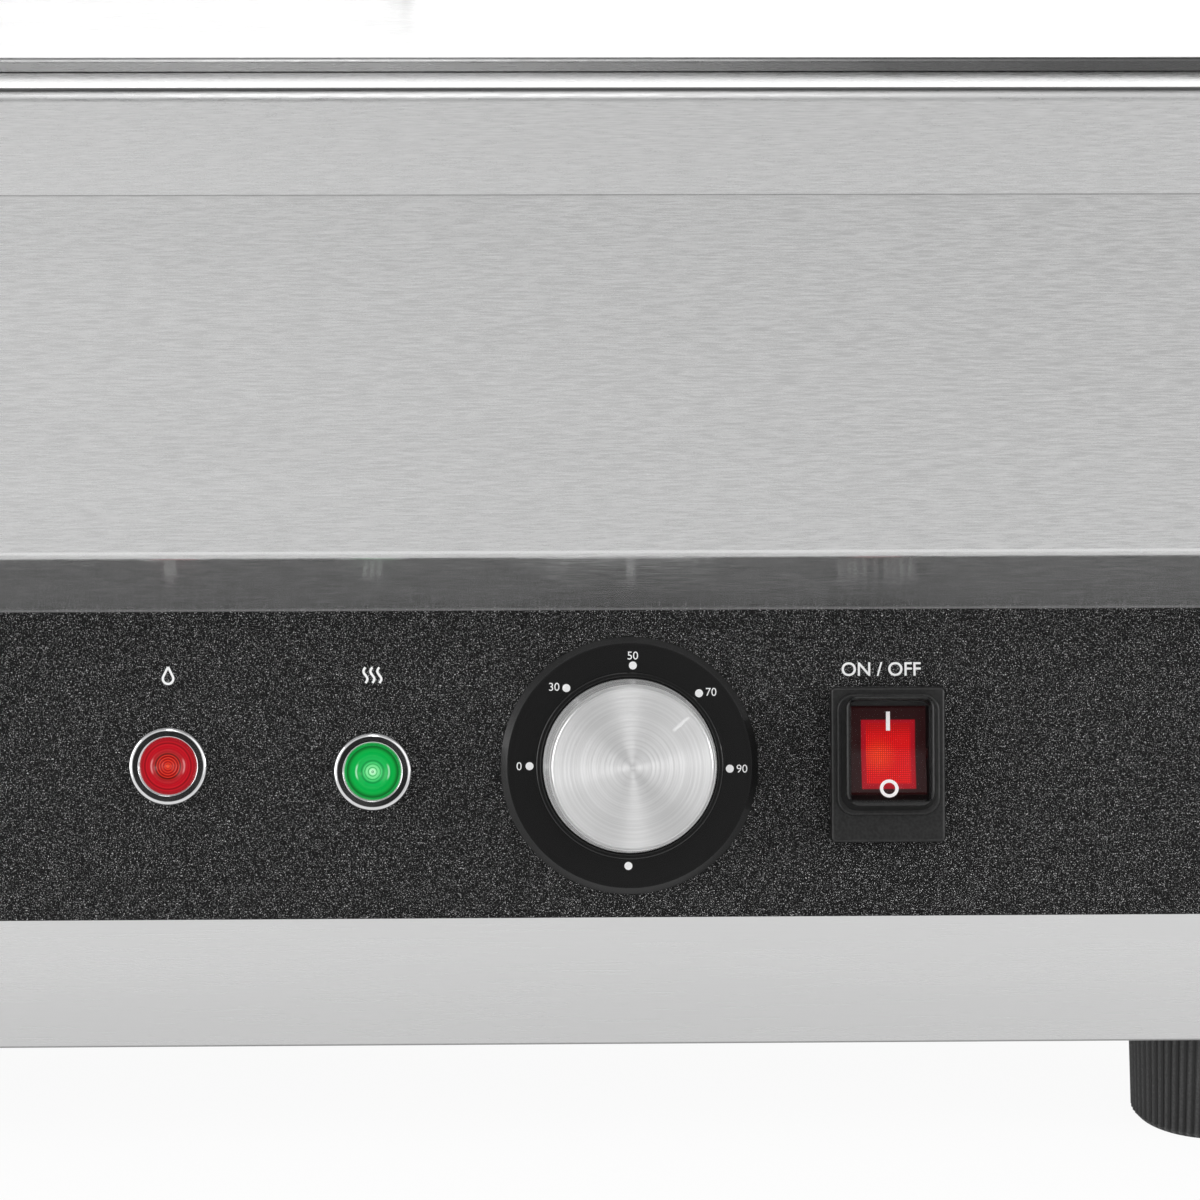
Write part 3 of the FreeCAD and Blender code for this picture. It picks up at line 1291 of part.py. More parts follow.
def hinge_fixed_leaves():
    """Deck leaves with two knuckles each."""
    leaves = []
    for side in (-1, 1):
        x = side * HINGE_X
        half = HINGE_WIDTH / 2
        plate = box(x - half, x + half, HINGE_Y, REAR - DECK_BEND / 2, DECK_Z, DECK_Z + HINGE_SHEET)
        gap = box(x - half + KNUCKLE_WIDTH, x + half - KNUCKLE_WIDTH, HINGE_Y - 1,
                  HINGE_Y + KNUCKLE_R + KNUCKLE_GAP, DECK_Z - 1, DECK_Z + HINGE_SHEET + 1)
        knuckles = []
        for end in (-1, 1):
            outer = V(x + end * half, HINGE_Y, HINGE_Z)
            inner = V(x + end * (half - KNUCKLE_WIDTH), HINGE_Y, HINGE_Z)
            knuckles.append(rod(KNUCKLE_R, outer, inner))
        pin = rod(PIN_R, V(x - HINGE_WIDTH, HINGE_Y, HINGE_Z), V(x + HINGE_WIDTH, HINGE_Y, HINGE_Z))
        leaf = joined([plate.cut(gap)] + knuckles).cut(pin)
        drills = [rod(SCREW_R, p + V(0, 0, 1), p - V(0, 0, 2 * HINGE_SHEET))
                  for p in hinge_screw_points(True)]
        leaves.append(leaf.cut(drills))
    return group(leaves)


def hinge_moving_leaves():
    """Lid leaves with one knuckle each."""
    leaves = []
    for side in (-1, 1):
        x = side * HINGE_X
        half = HINGE_WIDTH / 2
        neck = half - KNUCKLE_WIDTH - KNUCKLE_GAP
        plate = box(x - half, x + half, LID_REAR - LEAF_REACH, LID_REAR, LID_TOP, LID_TOP + HINGE_SHEET)
        strap = box(x - neck, x + neck, LID_REAR, HINGE_Y, LID_TOP, LID_TOP + HINGE_SHEET)
        knuckle = rod(KNUCKLE_R, V(x - neck, HINGE_Y, HINGE_Z), V(x + neck, HINGE_Y, HINGE_Z))
        bore = rod(PIN_R + RUNNING_FIT, V(x - half, HINGE_Y, HINGE_Z), V(x + half, HINGE_Y, HINGE_Z))
        leaf = joined([plate, strap, knuckle]).cut(bore)
        drills = [rod(SCREW_R, p + V(0, 0, 1), p - V(0, 0, 2 * HINGE_SHEET))
                  for p in hinge_screw_points(False)]
        leaves.append(leaf.cut(drills))
    return group(leaves)


def hinge_pins():
    """Hinge pins, fixed in the deck leaves."""
    half = HINGE_WIDTH / 2
    return group([rod(PIN_R, V(s * HINGE_X - half, HINGE_Y, HINGE_Z), V(s * HINGE_X + half, HINGE_Y, HINGE_Z))
                  for s in (-1, 1)])


def hinge_screws(rearward):
    """Screws through one row of hinge leaves."""
    down = V(0, 0, -1)
    length = HINGE_SHEET + SHEET + (SCREW_SPARE if rearward else LID_HEIGHT / 3)
    return group([screw(p, down, length) for p in hinge_screw_points(rearward)])


# Assembly


def build():
    """Every node's shape, by name."""
    parts = {
        "body_shell": body_shell(),
        "top_deck": top_deck(),
        "control_panel": control_panel(),
        "base_frame": base_frame(),
        "bottom_cover": bottom_cover(),
        "cover_screws": cover_screws(),
        "foot_studs": foot_studs(),
        "foot_nuts": foot_nuts(),
        "water_tank": water_tank(),
        "divider_bar": divider_bar(),
        "food_pan_left": food_pan(-1),
        "food_pan_right": food_pan(1),
        "heater_element": heater_element(),
        "heater_bushings": heater_bushings(),
        "heater_rails": heater_rails(),
        "sensing_bulb": capillary(),
        "bulb_gland": capillary_gland(),
        "bulb_clips": bulb_clips(),
        "limit_thermostat": limit_thermostat(),
        "terminal_block": terminal_block(),
        "lamp_nuts": lamp_nuts(),
        "dial_plate": dial_plate(),
        "thermostat_body": thermostat_body(),
        "thermostat_screws": thermostat_screws(),
        "thermostat_shaft": thermostat_shaft(),
        "thermostat_knob": thermostat_knob(),
        "switch_body": switch_body(),
        "switch_rocker": switch_rocker(),
        "switch_boot": switch_boot(),
        "cable_gland": cable_gland(),
        "gland_nut": gland_nut(),
        "drain_pipe": drain_pipe(),
        "drain_lock_nut": drain_lock_nut(),
        "drain_valve_body": drain_valve_body(),
        "drain_ball": drain_ball(),
        "drain_stem": drain_stem(),
        "drain_lever": drain_lever(),
        "lever_grip": lever_grip(),
        "lid": lid(),
        "lid_handle": lid_handle(),
        "handle_washers": handle_washers(),
        "handle_screws": handle_screws(),
        "hinge_fixed_leaves": hinge_fixed_leaves(),
        "hinge_moving_leaves": hinge_moving_leaves(),
        "hinge_pins": hinge_pins(),
        "deck_hinge_screws": hinge_screws(True),
        "lid_hinge_screws": hinge_screws(False),
    }
    for name, place in LAMP_PLACES.items():
        parts[name + "_lamp_bezel"] = lamp_bezel(place)
        parts[name + "_lamp_lens"] = lamp_lens(place)
        parts[name + "_lamp_body"] = lamp_body(place)
    for name, (x, y) in FOOT_PLACES.items():
        parts["foot_" + name] = foot(x, y)
    return parts


def main():
    """Write every node, with the origin under the middle of the whole object's box."""
    parts = build()
    bounds = FreeCAD.BoundBox()
    for shape in parts.values():
        bounds.add(shape.BoundBox)
    shift = V(-bounds.Center.x, -bounds.Center.y, 0)
    os.makedirs("parts", exist_ok=True)
    for name, shape in parts.items():
        shape.translate(shift)
        shape.exportStep("parts/" + name + ".step")
    print("origin moved by", round(shift.x, 4), round(shift.y, 4), "nodes", len(parts))


main()
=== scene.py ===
"""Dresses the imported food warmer: finishes, printed marks, lit lamps, plain studio and camera.

Lengths are in metres, and nothing but the frame is read.
"""
import math

import bpy
from mathutils import Matrix, Vector

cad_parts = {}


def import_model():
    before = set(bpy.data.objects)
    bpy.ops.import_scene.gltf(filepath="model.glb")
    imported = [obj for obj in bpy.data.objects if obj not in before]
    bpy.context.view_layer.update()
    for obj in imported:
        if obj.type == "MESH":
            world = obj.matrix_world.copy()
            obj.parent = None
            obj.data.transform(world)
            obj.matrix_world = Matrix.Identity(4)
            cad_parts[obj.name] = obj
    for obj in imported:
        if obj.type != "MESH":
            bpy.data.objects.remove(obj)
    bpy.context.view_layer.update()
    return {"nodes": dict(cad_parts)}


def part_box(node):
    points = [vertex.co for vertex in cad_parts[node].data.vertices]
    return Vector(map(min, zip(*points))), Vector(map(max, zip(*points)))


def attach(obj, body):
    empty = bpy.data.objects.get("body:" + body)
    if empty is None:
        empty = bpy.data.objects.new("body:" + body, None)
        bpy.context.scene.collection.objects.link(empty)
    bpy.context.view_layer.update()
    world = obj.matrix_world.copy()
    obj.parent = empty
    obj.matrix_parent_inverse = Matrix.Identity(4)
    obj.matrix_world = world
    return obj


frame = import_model()
NODES = frame["nodes"]

# The control panel's own frame: X across, Y up the panel, Z outwards
PANEL_CENTRE = Vector((0.0244, -0.180348, 0.093792))
PANEL_TURN = math.radians(73)
PANEL = Matrix.Translation(PANEL_CENTRE) @ Matrix.Rotation(PANEL_TURN, 4, "X")
PANEL_HALF = 0.03565

# Places on the panel, across and up
DRY_LAMP = (0.0, -0.0002)
HEAT_LAMP = (0.0470, -0.0017)
DIAL = (0.1062, -0.0006)
SWITCH = (0.1658, 0.0018)

# Heights over the panel
DIAL_FACE = 0.0018
KNOB_FACE = 0.0203
MARK_LIFT = 0.00006

# Other measures that the finishes follow
LENS_RADIUS = 0.0063
LAP_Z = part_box("top_deck")[0][2]
BASE_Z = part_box("base_frame")[0][2]
FOOT_RIBS = 60

# Wave lengths of fine turned or ribbed surfaces
KNOB_PITCH = 0.00105
ROCKER_PITCH = 0.00048

LENS_GLOW = 0.72
BLACK = (0.0, 0.0, 0.0)


# Node helpers


class Graph:
    """Short calls for the nodes of a material or of the world."""

    def __init__(self, tree):
        self.tree = tree
        self._coords = None

    def put(self, socket, value):
        """Link an output to a socket, or write a plain value there."""
        if hasattr(value, "is_linked"):
            self.tree.links.new(value, socket)
        elif isinstance(value, tuple) and len(value) == 3 and len(socket.default_value) == 4:
            socket.default_value = value + (1.0,)
        else:
            socket.default_value = value

    def node(self, kind, values=(), **settings):
        made = self.tree.nodes.new("ShaderNode" + kind)
        for name, value in settings.items():
            setattr(made, name, value)
        for socket, value in dict(values).items():
            self.put(made.inputs[socket], value)
        return made

    def coords(self, output="Object"):
        if self._coords is None:
            self._coords = self.node("TexCoord")
        return self._coords.outputs[output]

    def scaled(self, vector, scale):
        return self.node("Mapping", {0: vector, 3: scale}).outputs[0]

    def local(self, place):
        """Coordinates in the panel's frame, about a place on the panel."""
        centre = PANEL @ Vector((place[0], place[1], 0.0))
        values = {0: self.coords(), 1: tuple(centre), 2: (PANEL_TURN, 0.0, 0.0)}
        return self.node("Mapping", values, vector_type="TEXTURE").outputs[0]

    def axes(self, vector):
        return self.node("SeparateXYZ", {0: vector}).outputs

    def join(self, x, y, z):
        return self.node("CombineXYZ", {0: x, 1: y, 2: z}).outputs[0]

    def noise(self, vector, scale=1.0, detail=2.0, rough=0.5):
        values = {"Vector": vector, "Scale": scale, "Detail": detail, "Roughness": rough}
        return self.node("TexNoise", values).outputs[0]

    def math(self, operation, a, b=0.0):
        return self.node("Math", {0: a, 1: b}, operation=operation).outputs[0]

    def add(self, a, b):
        return self.math("ADD", a, b)

    def minus(self, a, b):
        return self.math("SUBTRACT", a, b)

    def times(self, a, b):
        return self.math("MULTIPLY", a, b)

    def size(self, a):
        return self.math("ABSOLUTE", a)

    def distance(self, x, y):
        """How far a place is from the middle."""
        return self.math("SQRT", self.add(self.times(x, x), self.times(y, y)))

    def wave(self, value, pitch):
        return self.math("SINE", self.times(value, 2 * math.pi / pitch))

    def vector(self, operation, a, b):
        made = self.node("VectorMath", {0: a, 1: b}, operation=operation)
        return made.outputs["Value" if operation == "DOT_PRODUCT" else "Vector"]

    def span(self, value, low, high, to_low=0.0, to_high=1.0):
        """A value's share between two limits, smoothed, as another range."""
        values = {0: value, 1: low, 2: high, 3: to_low, 4: to_high}
        return self.node("MapRange", values, interpolation_type="SMOOTHSTEP").outputs[0]

    def grade(self, noise, to_low=0.0, to_high=1.0):
        """A noise's usual values, 0.3 to 0.7, as another range."""
        return self.span(noise, 0.3, 0.7, to_low, to_high)

    def inside(self, x, y, half_x, half_y, soft):
        """1 inside a rectangle about the middle, fading out over a soft edge."""
        share_x = self.span(self.size(x), half_x, half_x + soft, 1.0, 0.0)
        share_y = self.span(self.size(y), half_y, half_y + soft, 1.0, 0.0)
        return self.times(share_x, share_y)

    def downward(self, normal, level, down):
        """One value, and another on faces that look down."""
        return self.span(normal[2], -0.4, -0.6, level, down)

    def flat_top(self, normal):
        """1 on faces that look straight up."""
        return self.span(normal[2], 0.98, 0.999)

    def ramp(self, share, stops):
        made = self.node("ValToRGB", {0: share})
        elements = made.color_ramp.elements
        while len(elements) < len(stops):
            elements.new(0.5)
        for element, (place, colour) in zip(elements, stops):
            element.position = place
            element.color = colour + (1.0,)
        return made.outputs[0]

    def mix(self, share, a, b):
        return self.node("Mix", {0: share, 6: a, 7: b}, data_type="RGBA").outputs[2]

    def mix_vector(self, share, a, b):
        return self.node("Mix", {0: share, 4: a, 5: b}, data_type="VECTOR").outputs[1]


class Finish(Graph):
    """A material, with calls for its shader's own values."""

    def __init__(self, name, colour, roughness=0.5, metallic=0.0, **values):
        self.material = bpy.data.materials.new(name)
        self.material.use_nodes = True
        super().__init__(self.material.node_tree)
        self.shader = next(n for n in self.tree.nodes if n.type == "BSDF_PRINCIPLED")
        self.set("Base Color", colour)
        self.set("Roughness", roughness)
        self.set("Metallic", metallic)
        for socket, value in values.items():
            self.set(socket.replace("_", " "), value)

    def set(self, socket, value):
        self.put(self.shader.inputs[socket], value)

    def bump(self, height, strength, distance):
        values = {"Height": height, "Strength": strength, "Distance": distance}
        self.set("Normal", self.node("Bump", values).outputs[0])

    def tangent(self, direction):
        settings = {"vector_type": "VECTOR", "convert_from": "OBJECT", "convert_to": "WORLD"}
        self.set("Tangent", self.node("VectorTransform", {0: direction}, **settings).outputs[0])

    def glow(self, colour, strength):
        self.set("Emission Color", colour)
        self.set("Emission Strength", strength)


def grey(level):
    return (level, level, level)


def swing(colour, share):
    """A colour's darker and lighter neighbours."""
    dark = tuple(c * (1 - share) for c in colour)
    light = tuple(min(1.0, c * (1 + share)) for c in colour)
    return dark, light


# Materials


def brushed(name, colour, roughness, length, width, contrast, anisotropy=0.8, edge=None,
            relief=0.08, under=1.0):
    """Sheet metal brushed along X, and along Y on faces that look along X.

    A grain line has a length and a width, and contrast is how far its tone swings. The edge
    function paints light and shade into the tones. On faces that look down, under is the
    metallic value.
    """
    f = Finish(name, colour, roughness, 1.0, Anisotropic=anisotropy)
    normal = f.axes(f.coords("Normal"))
    ends = f.math("GREATER_THAN", f.size(normal[0]), 0.7)
    fine = 1.0 / width
    along_x = f.scaled(f.coords(), (1.0 / length, fine, fine))
    along_y = f.scaled(f.coords(), (fine, 1.0 / length, fine))
    grain = f.noise(f.mix_vector(ends, along_x, along_y), 1.0, 3.0, 0.6)
    broad = f.noise(f.scaled(f.coords(), (5.0, 60.0, 60.0)), 1.0, 2.0)
    tint = f.mix(f.grade(grain), *swing(colour, contrast))
    # The edge function paints light and shade into the tint
    if edge:
        tint = edge(f, normal, tint)
    f.set("Base Color", tint)
    tone = f.add(f.grade(grain, -0.05, 0.05), f.grade(broad, -0.02, 0.02))
    f.set("Roughness", f.add(tone, f.downward(normal, roughness, roughness - 0.1)))
    if under < 1.0:
        f.set("Metallic", f.downward(normal, 1.0, under))
    f.bump(grain, relief, 0.0001)
    run = f.mix_vector(ends, (1.0, 0.0, 0.0), (0.0, 1.0, 0.0))
    f.tangent(f.vector("CROSS_PRODUCT", f.coords("Normal"), run))
    return f.material


def lid_painted_light(f, normal, tint):
    """Painted light: the lid's top is painted brighter as a highlight, and its turned-down front
    edge is painted darker towards one side, in streaks, as a painted reflection.
    """
    # Painted highlight: flat top faces are painted lighter
    tint = f.mix(f.flat_top(normal), tint, grey(0.74))
    # Painted reflection: front faces go from lighter to darker along X, with a streaky border
    front = f.math("GREATER_THAN", f.times(normal[1], -1.0), 0.5)
    along = f.axes(f.coords())[0]
    streaks = f.noise(f.scaled(f.coords(), (30.0, 0.0, 0.0)), 1.0, 2.0)
    place = f.add(along, f.times(f.minus(streaks, 0.5), 0.06))
    return f.mix(front, tint, f.mix(f.span(place, 0.02, 0.24), grey(0.52), grey(0.14)))


def wall_painted_light(f, normal, tint):
    """Painted shadow as a dark line under the deck's lap, a painted highlight as a bright line
    where the wall's foot turns in, and painted shade on faces that look down.
    """
    height = f.axes(f.coords())[2]
    off_lap = f.size(f.minus(height, LAP_Z - 0.0002))
    # Painted shadow: a thin dark line just under the deck's lap
    lap_painted_shadow = f.mix(f.span(off_lap, 0.0001, 0.0005, 0.5, 0.0), tint, grey(0.05))
    turn = f.times(f.span(normal[2], -0.02, -0.1), f.span(normal[2], -0.3, -0.16))
    # Painted highlight: a bright line where the wall's foot turns in
    lines_painted = f.mix(f.times(turn, 0.5), lap_painted_shadow, grey(0.9))
    # Painted shade: faces that look down are a little darker
    return f.mix(f.downward(normal, 0.0, 0.08), lines_painted, grey(0.1))


def deck_painted_light(f, normal, tint):
    """Painted light: the deck's top is painted brighter as a highlight; where its edge turns down,
    a dark line of painted shadow, then a bright strip of painted highlight.
    """
    # Painted highlight: flat top faces are painted lighter
    top = f.mix(f.flat_top(normal), tint, grey(0.93))
    # Painted highlight: the bright strip on the turned-down edge
    strip = f.times(f.span(normal[2], 0.06, 0.16), f.span(normal[2], 0.75, 0.62))
    bright = f.mix(strip, top, grey(0.64))
    # Painted shadow: the dark line where the edge starts to turn down
    line = f.times(f.span(normal[2], 0.998, 0.99), f.span(normal[2], 0.66, 0.88))
    return f.mix(line, bright, grey(0.17))


def base_painted_shade(f, _, tint):
    """Painted shade: the base strip is painted a little darker towards its foot, and darkest at
    its lower edge.
    """
    height = f.axes(f.coords())[2]
    # Painted shade, darker towards the foot and darkest at the lower edge
    lower = f.mix(f.span(height, BASE_Z + 0.03, BASE_Z, 0.0, 0.1), tint, grey(0.2))
    brink = f.span(height, BASE_Z + 0.0005, BASE_Z + 0.0002, 0.0, 0.6)
    return f.mix(brink, lower, grey(0.1))


def plain(name, colour, roughness, metallic=0.0, scale=900.0, vary=0.12, bump=0.05):
    """A cast, moulded or plated finish with a little fine unevenness."""
    f = Finish(name, colour, roughness, metallic)
    fine = f.noise(f.coords(), scale, 3.0)
    f.set("Base Color", f.mix(f.grade(fine), *swing(colour, vary)))
    coarse = f.noise(f.coords(), scale / 9)
    f.set("Roughness", f.grade(coarse, roughness - 0.04, roughness + 0.04))
    if bump:
        f.bump(fine, bump, 0.0002)
    return f.material


def powder_coat():
    """Black textured paint: fine glossy lumps that catch the light, with bright grains painted in
    as glints, and a painted highlight along its top edge.
    """
    f = Finish("powder_coat", grey(0.03), 0.42, Specular_IOR_Level=0.12)
    grains_and_painted_glints = f.noise(f.coords(), 5200.0, 1.0, 0.6)
    lumps = f.noise(f.coords(), 1300.0, 1.0)
    # The brightest grains are painted glints, light caught by the lumps
    stops = [(0.5, grey(0.001)), (0.58, grey(0.005)), (0.65, grey(0.09)), (0.73, grey(0.95))]
    up = f.axes(f.local((0.0, 0.0)))[1]
    # Painted highlight: a light line along the panel's top edge
    top_edge_highlight = f.span(up, PANEL_HALF - 0.0005, PANEL_HALF - 0.0002, 0.0, 0.55)
    f.set("Base Color", f.mix(top_edge_highlight, f.ramp(grains_and_painted_glints, stops), grey(0.3)))
    f.set("Roughness", f.grade(lumps, 0.34, 0.48))
    f.bump(f.add(grains_and_painted_glints, lumps), 0.6, 0.0005)
    return f.material


def dial_gloss():
    """Glossy black scale plate, turned in fine rings."""
    f = Finish("dial_gloss", grey(0.007), 0.2)
    x, y, _ = f.axes(f.local(DIAL))
    rings = f.noise(f.join(f.times(f.distance(x, y), 5000.0), 0.0, 0.0), 1.0, 2.0)
    f.set("Base Color", f.mix(f.grade(rings), grey(0.005), grey(0.009)))
    f.set("Roughness", f.grade(rings, 0.18, 0.25))
    return f.material


def spun_knob():
    """Aluminium knob turned in fine rings, so its shine runs out from the middle."""
    f = Finish("spun_aluminium", grey(0.78), 0.42, 1.0, Anisotropic=0.88)
    x, y, z = f.axes(f.local(DIAL))
    radius = f.distance(x, y)
    rings = f.noise(f.join(f.times(radius, 2600.0), f.times(z, 2600.0), 0.0), 1.0, 2.0)
    grooves = f.wave(radius, KNOB_PITCH)
    f.set("Base Color", f.mix(f.grade(rings), grey(0.78), grey(0.86)))
    shoulder = (KNOB_FACE - 0.0012, KNOB_FACE - 0.0004)
    f.set("Roughness", f.add(f.grade(rings, 0.34, 0.41), f.span(z, *shoulder, -0.12, 0.0)))
    f.set("Metallic", f.span(z, *shoulder, 0.4, 1.0))
    f.bump(f.add(f.times(rings, 0.6), f.times(grooves, 0.5)), 1.0, 0.000012)
    axis = tuple(PANEL.to_3x3() @ Vector((0.0, 0.0, 1.0)))
    centre = tuple(PANEL @ Vector((DIAL[0], DIAL[1], 0.0)))
    around = f.vector("CROSS_PRODUCT", axis, f.vector("SUBTRACT", f.coords(), centre))
    f.tangent(f.vector("CROSS_PRODUCT", around, f.coords("Normal")))
    return f.material


def lens(name, place, stops, line, arc, pitch):
    """Lit lamp lens: fine lines round a bright middle, and a pale arc of painted highlight to
    either side.
    """
    f = Finish(name, stops[1][1], 0.3, Specular_IOR_Level=0.22)
    x, y, _ = f.axes(f.local(place))
    radius = f.distance(x, y)
    colour = f.ramp(f.math("DIVIDE", radius, LENS_RADIUS), stops)
    fade = f.span(radius, 0.0022, 0.0036, 0.8, 0.15)
    share = f.times(f.span(f.wave(radius, pitch), 0.1, 0.95), fade)
    shade = f.mix(share, colour, line)
    # Painted highlight: pale arcs to the left and right at six tenths of the radius
    off_ring = f.size(f.minus(radius, 0.6 * LENS_RADIUS))
    slope = f.math("DIVIDE", f.size(y), radius)
    painted_highlight_arcs = f.times(f.span(off_ring, 0.0, 0.00035, 1.0, 0.0), f.span(slope, 0.25, 0.55, 0.75, 0.0))
    shade = f.mix(painted_highlight_arcs, shade, arc)
    f.set("Base Color", f.mix(0.7, shade, BLACK))
    f.glow(shade, LENS_GLOW)
    return f.material


def lit_rocker():
    """Red rocker with a lit, finely ribbed window inside a darker rim."""
    f = Finish("red_rocker", (0.35, 0.01, 0.01), 0.3, Specular_IOR_Level=0.2)
    x, y, _ = f.axes(f.local(SWITCH))
    window = f.inside(x, y, 0.0061, 0.0078, 0.0003)
    inner = f.inside(x, f.minus(y, 0.0002), 0.0050, 0.0068, 0.0003)
    ribs = f.math("MAXIMUM", f.wave(x, ROCKER_PITCH), f.wave(y, ROCKER_PITCH))
    off_spot = f.distance(f.add(x, 0.0022), f.add(y, 0.0004))
    red = f.mix(f.span(off_spot, 0.0, 0.005), (1.0, 0.05, 0.006), (0.84, 0.002, 0.004))
    red = f.mix(f.span(y, 0.0035, 0.0072, 0.0, 0.6), red, (0.3, 0.0, 0.002))
    ribbed = f.mix(f.span(ribs, 0.2, 1.0, 0.0, 0.75), red, (0.25, 0.0, 0.0))
    rim = f.mix(window, (0.045, 0.002, 0.003), (0.36, 0.0, 0.008))
    shade = f.mix(inner, rim, ribbed)
    f.set("Base Color", f.mix(0.7, shade, BLACK))
    f.glow(shade, f.add(0.25, f.times(window, 0.65)))
    return f.material


def smoky_cover():
    """Rubber splash cover: solid frame, smoky clear dome."""
    f = Finish("smoky_cover", grey(0.012), 0.34, Specular_IOR_Level=0.4)
    x, y, z = f.axes(f.local(SWITCH))
    dome = f.inside(x, f.minus(y, 0.0011), 0.0088, 0.0112, 0.001)
    clear = f.times(dome, f.span(z, 0.008, 0.009))
    fine = f.noise(f.coords(), 1500.0, 2.0)
    f.set("Base Color", f.mix(f.grade(fine), grey(0.006), grey(0.018)))
    f.set("Alpha", f.minus(1.0, f.times(clear, 0.93)))
    f.bump(fine, 0.08, 0.0001)
    return f.material


def middle(name):
    low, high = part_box(name)
    return [(low[k] + high[k]) / 2 for k in range(3)]


def foot_rubber():
    """Grippy black plastic, slightly rough: its grooves painted dark as shade and its ribs painted
    lighter as lit.
    """
    f = Finish("foot_black", grey(0.02), 0.42)
    near, far = middle("foot_front_left"), middle("foot_rear_right")
    x, y, _ = f.axes(f.coords())
    # The feet mirror each other, so folding about the middle finds the nearest one's centre
    offsets = []
    for value, a, b in ((x, near[0], far[0]), (y, near[1], far[1])):
        folded = f.size(f.minus(value, (a + b) / 2))
        offsets.append(f.minus(folded, (b - a) / 2))
    turn = f.math("ARCTAN2", offsets[1], offsets[0])
    # Painted shade in the grooves, painted light on the ribs
    rib_painted_light_and_shade = f.span(f.math("COSINE", f.times(turn, FOOT_RIBS)), -0.6, 0.9)
    fine = f.noise(f.coords(), 1800.0, 2.0)
    tone = f.times(rib_painted_light_and_shade, f.span(fine, 0.35, 0.65, 0.55, 1.0))
    f.set("Base Color", f.mix(tone, grey(0.004), grey(0.05)))
    f.bump(fine, 0.5, 0.0003)
    return f.material


def ink(name, dark, light, glow=0.0):
    """Printed mark; the lamp behind the lit rocker's marks shines through a little."""
    f = Finish(name, grey(0.86), 0.5)
    tone = f.mix(f.grade(f.noise(f.coords(), 4000.0, 1.0)), dark, light)
    f.set("Base Color", tone)
    if glow:
        f.glow(tone, glow)
    return f.material


def wear(material, *names):
    for name in names:
        mesh = NODES[name].data
        mesh.materials.clear()
        mesh.materials.append(material)


# Brushed sheet: colour, roughness, length and width of a grain line, contrast
wear(brushed("wall_stainless", grey(0.645), 0.27, 0.006, 0.00032, 0.13, edge=wall_painted_light,
             under=0.8), "body_shell")
wear(brushed("deck_stainless", grey(0.7), 0.3, 0.006, 0.00032, 0.09, edge=deck_painted_light),
     "top_deck")
wear(brushed("lid_stainless", grey(0.6), 0.3, 0.006, 0.00032, 0.06, edge=lid_painted_light), "lid")
wear(brushed("base_stainless", grey(0.72), 0.3, 0.03, 0.0004, 0.012, 0.6, edge=base_painted_shade,
             relief=0.03), "base_frame")
wear(brushed("smooth_stainless", grey(0.635), 0.26, 0.03, 0.0004, 0.02, 0.6),
     "water_tank", "divider_bar", "heater_rails", "bulb_clips")
wear(brushed("pan_stainless", grey(0.66), 0.25, 0.03, 0.0005, 0.03, 0.4),
     "food_pan_left", "food_pan_right")
wear(brushed("cover_steel", (0.5, 0.5, 0.51), 0.38, 0.02, 0.0006, 0.05, 0.4), "bottom_cover")
wear(brushed("hinge_stainless", grey(0.62), 0.22, 0.012, 0.0004, 0.04, 0.5),
     "hinge_fixed_leaves", "hinge_moving_leaves", "lid_handle", "handle_washers")

# Small parts: fasteners, heater, sensor, bezels, drain, and what sits behind the panel
wear(plain("fastener_steel", (0.55, 0.55, 0.56), 0.3, 1.0), "cover_screws", "foot_studs",
     "foot_nuts", "lamp_nuts", "thermostat_screws", "handle_screws", "deck_hinge_screws",
     "lid_hinge_screws", "hinge_pins", "heater_bushings", "thermostat_shaft")
wear(plain("heater_sheath", (0.33, 0.31, 0.30), 0.42, 1.0, 300.0, 0.3), "heater_element")
wear(plain("copper", (0.72, 0.43, 0.30), 0.3, 1.0), "sensing_bulb", "bulb_gland")
wear(plain("chrome", (0.75, 0.75, 0.76), 0.1, 1.0, 700.0, 0.03, 0.0), "dry_lamp_bezel",
     "heat_lamp_bezel", "drain_lock_nut", "drain_valve_body", "drain_ball", "drain_stem",
     "drain_lever", "drain_pipe")
wear(plain("phenolic", (0.05, 0.045, 0.04), 0.5), "thermostat_body", "limit_thermostat",
     "terminal_block", "dry_lamp_body", "heat_lamp_body")
wear(plain("black_nylon", grey(0.025), 0.5), "switch_body", "cable_gland", "gland_nut")
wear(plain("grip_vinyl", (0.45, 0.02, 0.02), 0.4, 0.0, 800.0, 0.1, 0.1), "lever_grip")

# The panel and what is seated in it
wear(powder_coat(), "control_panel")
wear(dial_gloss(), "dial_plate")
wear(spun_knob(), "thermostat_knob")
wear(lit_rocker(), "switch_rocker")
wear(smoky_cover(), "switch_boot")

# Lamp lenses: colours from the middle to the rim, then a line's and a painted highlight arc's
RED_STOPS = [(0.0, (1.0, 0.12, 0.03)), (0.1, (0.42, 0.006, 0.004)), (0.38, (0.3, 0.0, 0.002)),
             (0.46, (0.12, 0.0, 0.0)), (0.54, (0.4, 0.004, 0.012)), (0.8, (0.5, 0.002, 0.014)),
             (0.84, (0.2, 0.0, 0.004)), (0.9, (0.48, 0.002, 0.014)), (1.0, (0.16, 0.01, 0.014))]
GREEN_STOPS = [(0.0, (0.8, 1.0, 0.85)), (0.13, (0.3, 0.9, 0.4)), (0.34, (0.05, 0.62, 0.16)),
               (0.4, (0.0, 0.26, 0.05)), (0.46, (0.0, 0.46, 0.08)), (0.8, (0.0, 0.4, 0.055)),
               (0.92, (0.0, 0.1, 0.012)), (1.0, (0.0, 0.24, 0.03))]
